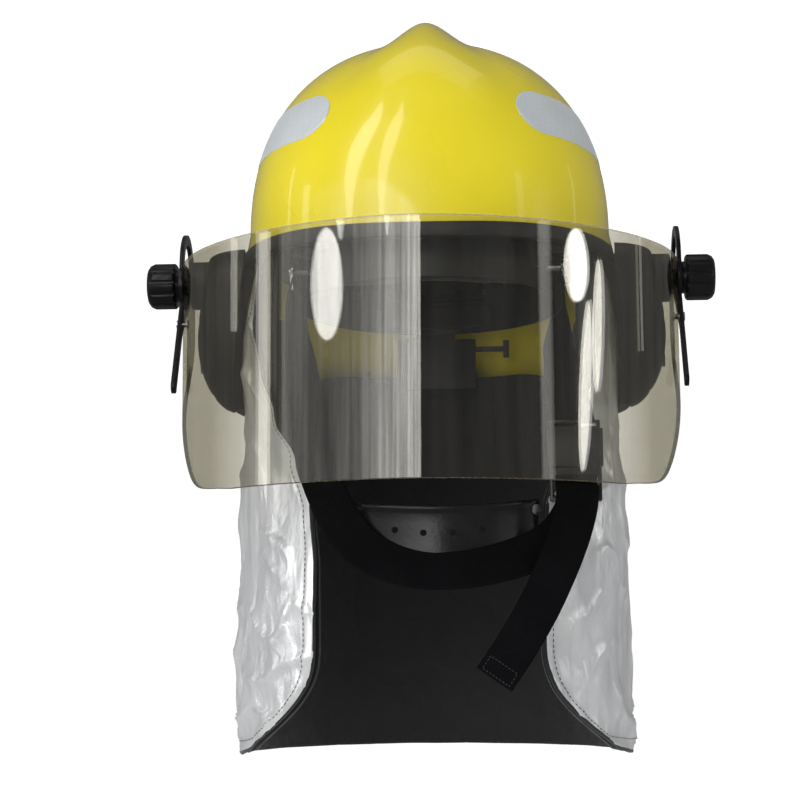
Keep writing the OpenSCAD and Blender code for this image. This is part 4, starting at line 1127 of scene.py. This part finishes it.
def strap(word, route, parts, body, node, wave, sewing, first, last):
    """A strap of the harness with a sewn box: thread along both edges and across both ends of a stretch."""
    name = word + "_webbing"
    mids, side, face = ribbon(name, smooth_route(route, parts), STRAP_WIDTH, STRAP_THICK, body, [node], wave)
    stretch = [k % len(mids) for k in range(first, last + 1)]
    rows = []
    for edge in (-1, 1):
        rows += [mids[k] + side[k] * edge * (STRAP_WIDTH / 2 - 3) + face[k] * STRAP_THICK / 2
                 for k in stretch][::edge]
    normals = [face[k] for k in stretch]
    normals = np.array(normals[::-1] + normals + normals[-1:])
    stitches(sewing, np.array(rows + rows[:1]), normals, body, "webbing", thread_dark, 2.2, 1.6, 0.4)


def crown_straps():
    """Three straps crossing over the crown, one above the other."""
    for k, (word, top) in enumerate((("first", 104), ("second", 106.2), ("third", 108.4))):
        a = math.radians(30 + 60 * k)
        across = np.array([math.cos(a), -math.sin(a), 0])
        stations = []
        for b in np.radians(np.linspace(2.5, 177.5, 61)):
            r, h = math.cos(b), math.sin(b)
            mid = [(BAND_W - 3) * math.sin(a) * r, BAND_Y + (BAND_L - 12.6) * math.cos(a) * r, mix(9, top, h)]
            stations.append((mid, across))
        ribbon("crown_webbing_" + word, stations, 19, 1.4, "shell", ["crown_straps"] if k == 0 else ())


strap("chin", CHIN_ROUTE, 8, "chin_harness", "chin_strap", 0.25, "chin_sewing_top", 4, 11)
strap("short", SHORT_ROUTE, 12, "chin_harness", "short_strap", 0.2, "short_sewing_top", 6, 14)
strap("tail", TAIL_ROUTE, 8, "buckle_male", "strap_tail", 0.3, "tail_sewing", -5, -2)
crown_straps()

# ---- Chin cup ----------------------------------------------------------------------------------

CUP_MID, CUP_RX, CUP_RY = np.array([6.5, -46, -143.5]), 57, 38


def chin_cup():
    """Soft moulded cup with a raised rim and four air holes."""
    rings = []
    for b in np.linspace(-88, 88, 121):
        c, s = math.cos(math.radians(b)), math.sin(math.radians(b))
        tall, deep, drop = 7 + 22 * c**0.8, 4 + 16 * c**1.2, 6 * c**1.5
        mid = CUP_MID + [CUP_RX * s, -CUP_RY * c, -drop]
        profile = [(1.0, 3.1), (1.7, 2.6), (2.0, 1.6), (1.9, 0.6), (1.2, -0.4), (0.9, -2.0),
                   (0.8, -0.25 * tall), (0.7, -0.5 * tall), (0.6, -0.75 * tall), (1.0, -tall + 1.2),
                   (0.8, -tall - 0.2), (-0.6, -tall - 1.0), (-0.35 * deep, -tall - 2.2),
                   (-0.7 * deep, -tall - 3.4), (-deep, -tall - 4.0), (-deep - 0.5, -tall - 3.0),
                   (-deep, -tall - 1.9), (-0.7 * deep, -tall - 1.1),
                   (-0.35 * deep, -tall + 0.6), (-2.4, -tall + 2.6), (-1.6, -0.6 * tall), (-1.3, -0.3 * tall),
                   (-1.2, -1.0), (-0.9, 1.6), (-0.6, 2.6), (0.2, 3.2)]
        rings.append([mid + [s * u, -c * u, v] for u, v in profile])
    obj = piece("chin_cup_moulding", np.array(rings), loft(rings), "cup_black", "chin_harness", ["chin_cup"],
                sharp=55)
    holes = [(CUP_MID[0] + x, CUP_MID[2] - 19.5 + abs(x) * 0.12) for x in (-25, -8.5, 8.5, 25)]
    carve(obj, [((x, -92, z), (x, -62, z), 1.9) for x, z in holes], 50)


chin_cup()

# ---- CAD parts kept as they are ----------------------------------------------------------------

SHARP = 34
BEVELS = {"knob_left": 0.5, "knob_right": 0.5, "adjuster_knob": 0.5, "visor_arm_left": 0.45,
          "visor_arm_right": 0.45, "buckle_socket": 0.8, "buckle_plug": 0.8, "arm_rivets": 0.35,
          "cover_screws": 0.3}


def smooth_by_angle(degrees):
    """A modifier's node group that shades smooth, except across edges sharper than degrees."""
    group = bpy.data.node_groups.new("smooth_by_angle", "GeometryNodeTree")
    for in_out in ("INPUT", "OUTPUT"):
        group.interface.new_socket("Geometry", in_out=in_out, socket_type="NodeSocketGeometry")
    entry, leave, faces, edges, angle, small = (group.nodes.new(kind) for kind in (
        "NodeGroupInput", "NodeGroupOutput", "GeometryNodeSetShadeSmooth", "GeometryNodeSetShadeSmooth",
        "GeometryNodeInputMeshEdgeAngle", "FunctionNodeCompare"))
    edges.domain = "EDGE"
    small.operation = "LESS_EQUAL"
    small.inputs["B"].default_value = math.radians(degrees)
    for source, target in ((entry.outputs[0], faces.inputs["Geometry"]),
                           (faces.outputs["Geometry"], edges.inputs["Geometry"]),
                           (angle.outputs["Unsigned Angle"], small.inputs["A"]),
                           (small.outputs["Result"], edges.inputs["Shade Smooth"]),
                           (edges.outputs["Geometry"], leave.inputs[0])):
        group.links.new(source, target)
    return group


def finish_cad_parts():
    """Gives each visible CAD part its material, small bevels and smooth shading."""
    group = smooth_by_angle(SHARP)
    for name, obj in frame["nodes"].items():
        if obj.hide_render:
            continue
        obj.data.materials.clear()
        obj.data.materials.append(materials[slot_of[name]])
        obj.modifiers.new("weld", "WELD").merge_threshold = 0.00001
        bevel = obj.modifiers.new("edges", "BEVEL")
        bevel.width = BEVELS.get(name, 0.25) * MM
        bevel.segments = 3
        bevel.limit_method = "ANGLE"
        bevel.angle_limit = math.radians(SHARP)
        obj.modifiers.new("shade", "NODES").node_group = group


finish_cad_parts()

# ---- Stage -------------------------------------------------------------------------------------


def stage():
    """A pale floor under the helmet that curves up into a backdrop."""
    floor, half_width, front, back, bend, top = -420, 5000, -3000, 2200, 1200, 4500
    line = [(front, 0), (back, 0)]
    for a in np.radians(range(10, 91, 10)):
        line.append((back + bend * math.sin(a), bend - bend * math.cos(a)))
    line.append((back + bend, top))
    points = [(x, y, floor + z) for y, z in line for x in (-half_width, half_width)]
    faces = [(k, k + 1, k + 3, k + 2) for k in range(0, 2 * len(line) - 2, 2)]
    look = Look("studio_paper")
    paper = look.blend(look.noise(40, 4), (0.93, 0.93, 0.93), (0.96, 0.96, 0.96))
    look.set(base_color=paper, roughness=0.9, emission_color=(1, 1, 1, 1), emission_strength=0.5)
    mesh = bpy.data.meshes.new("studio_floor")
    mesh.from_pydata((np.array(points) * MM).tolist(), [], faces)
    mesh.materials.append(look.material)
    obj = bpy.data.objects.new("studio_floor", mesh)
    scene.collection.objects.link(obj)
    obj.visible_glossy = False


stage()
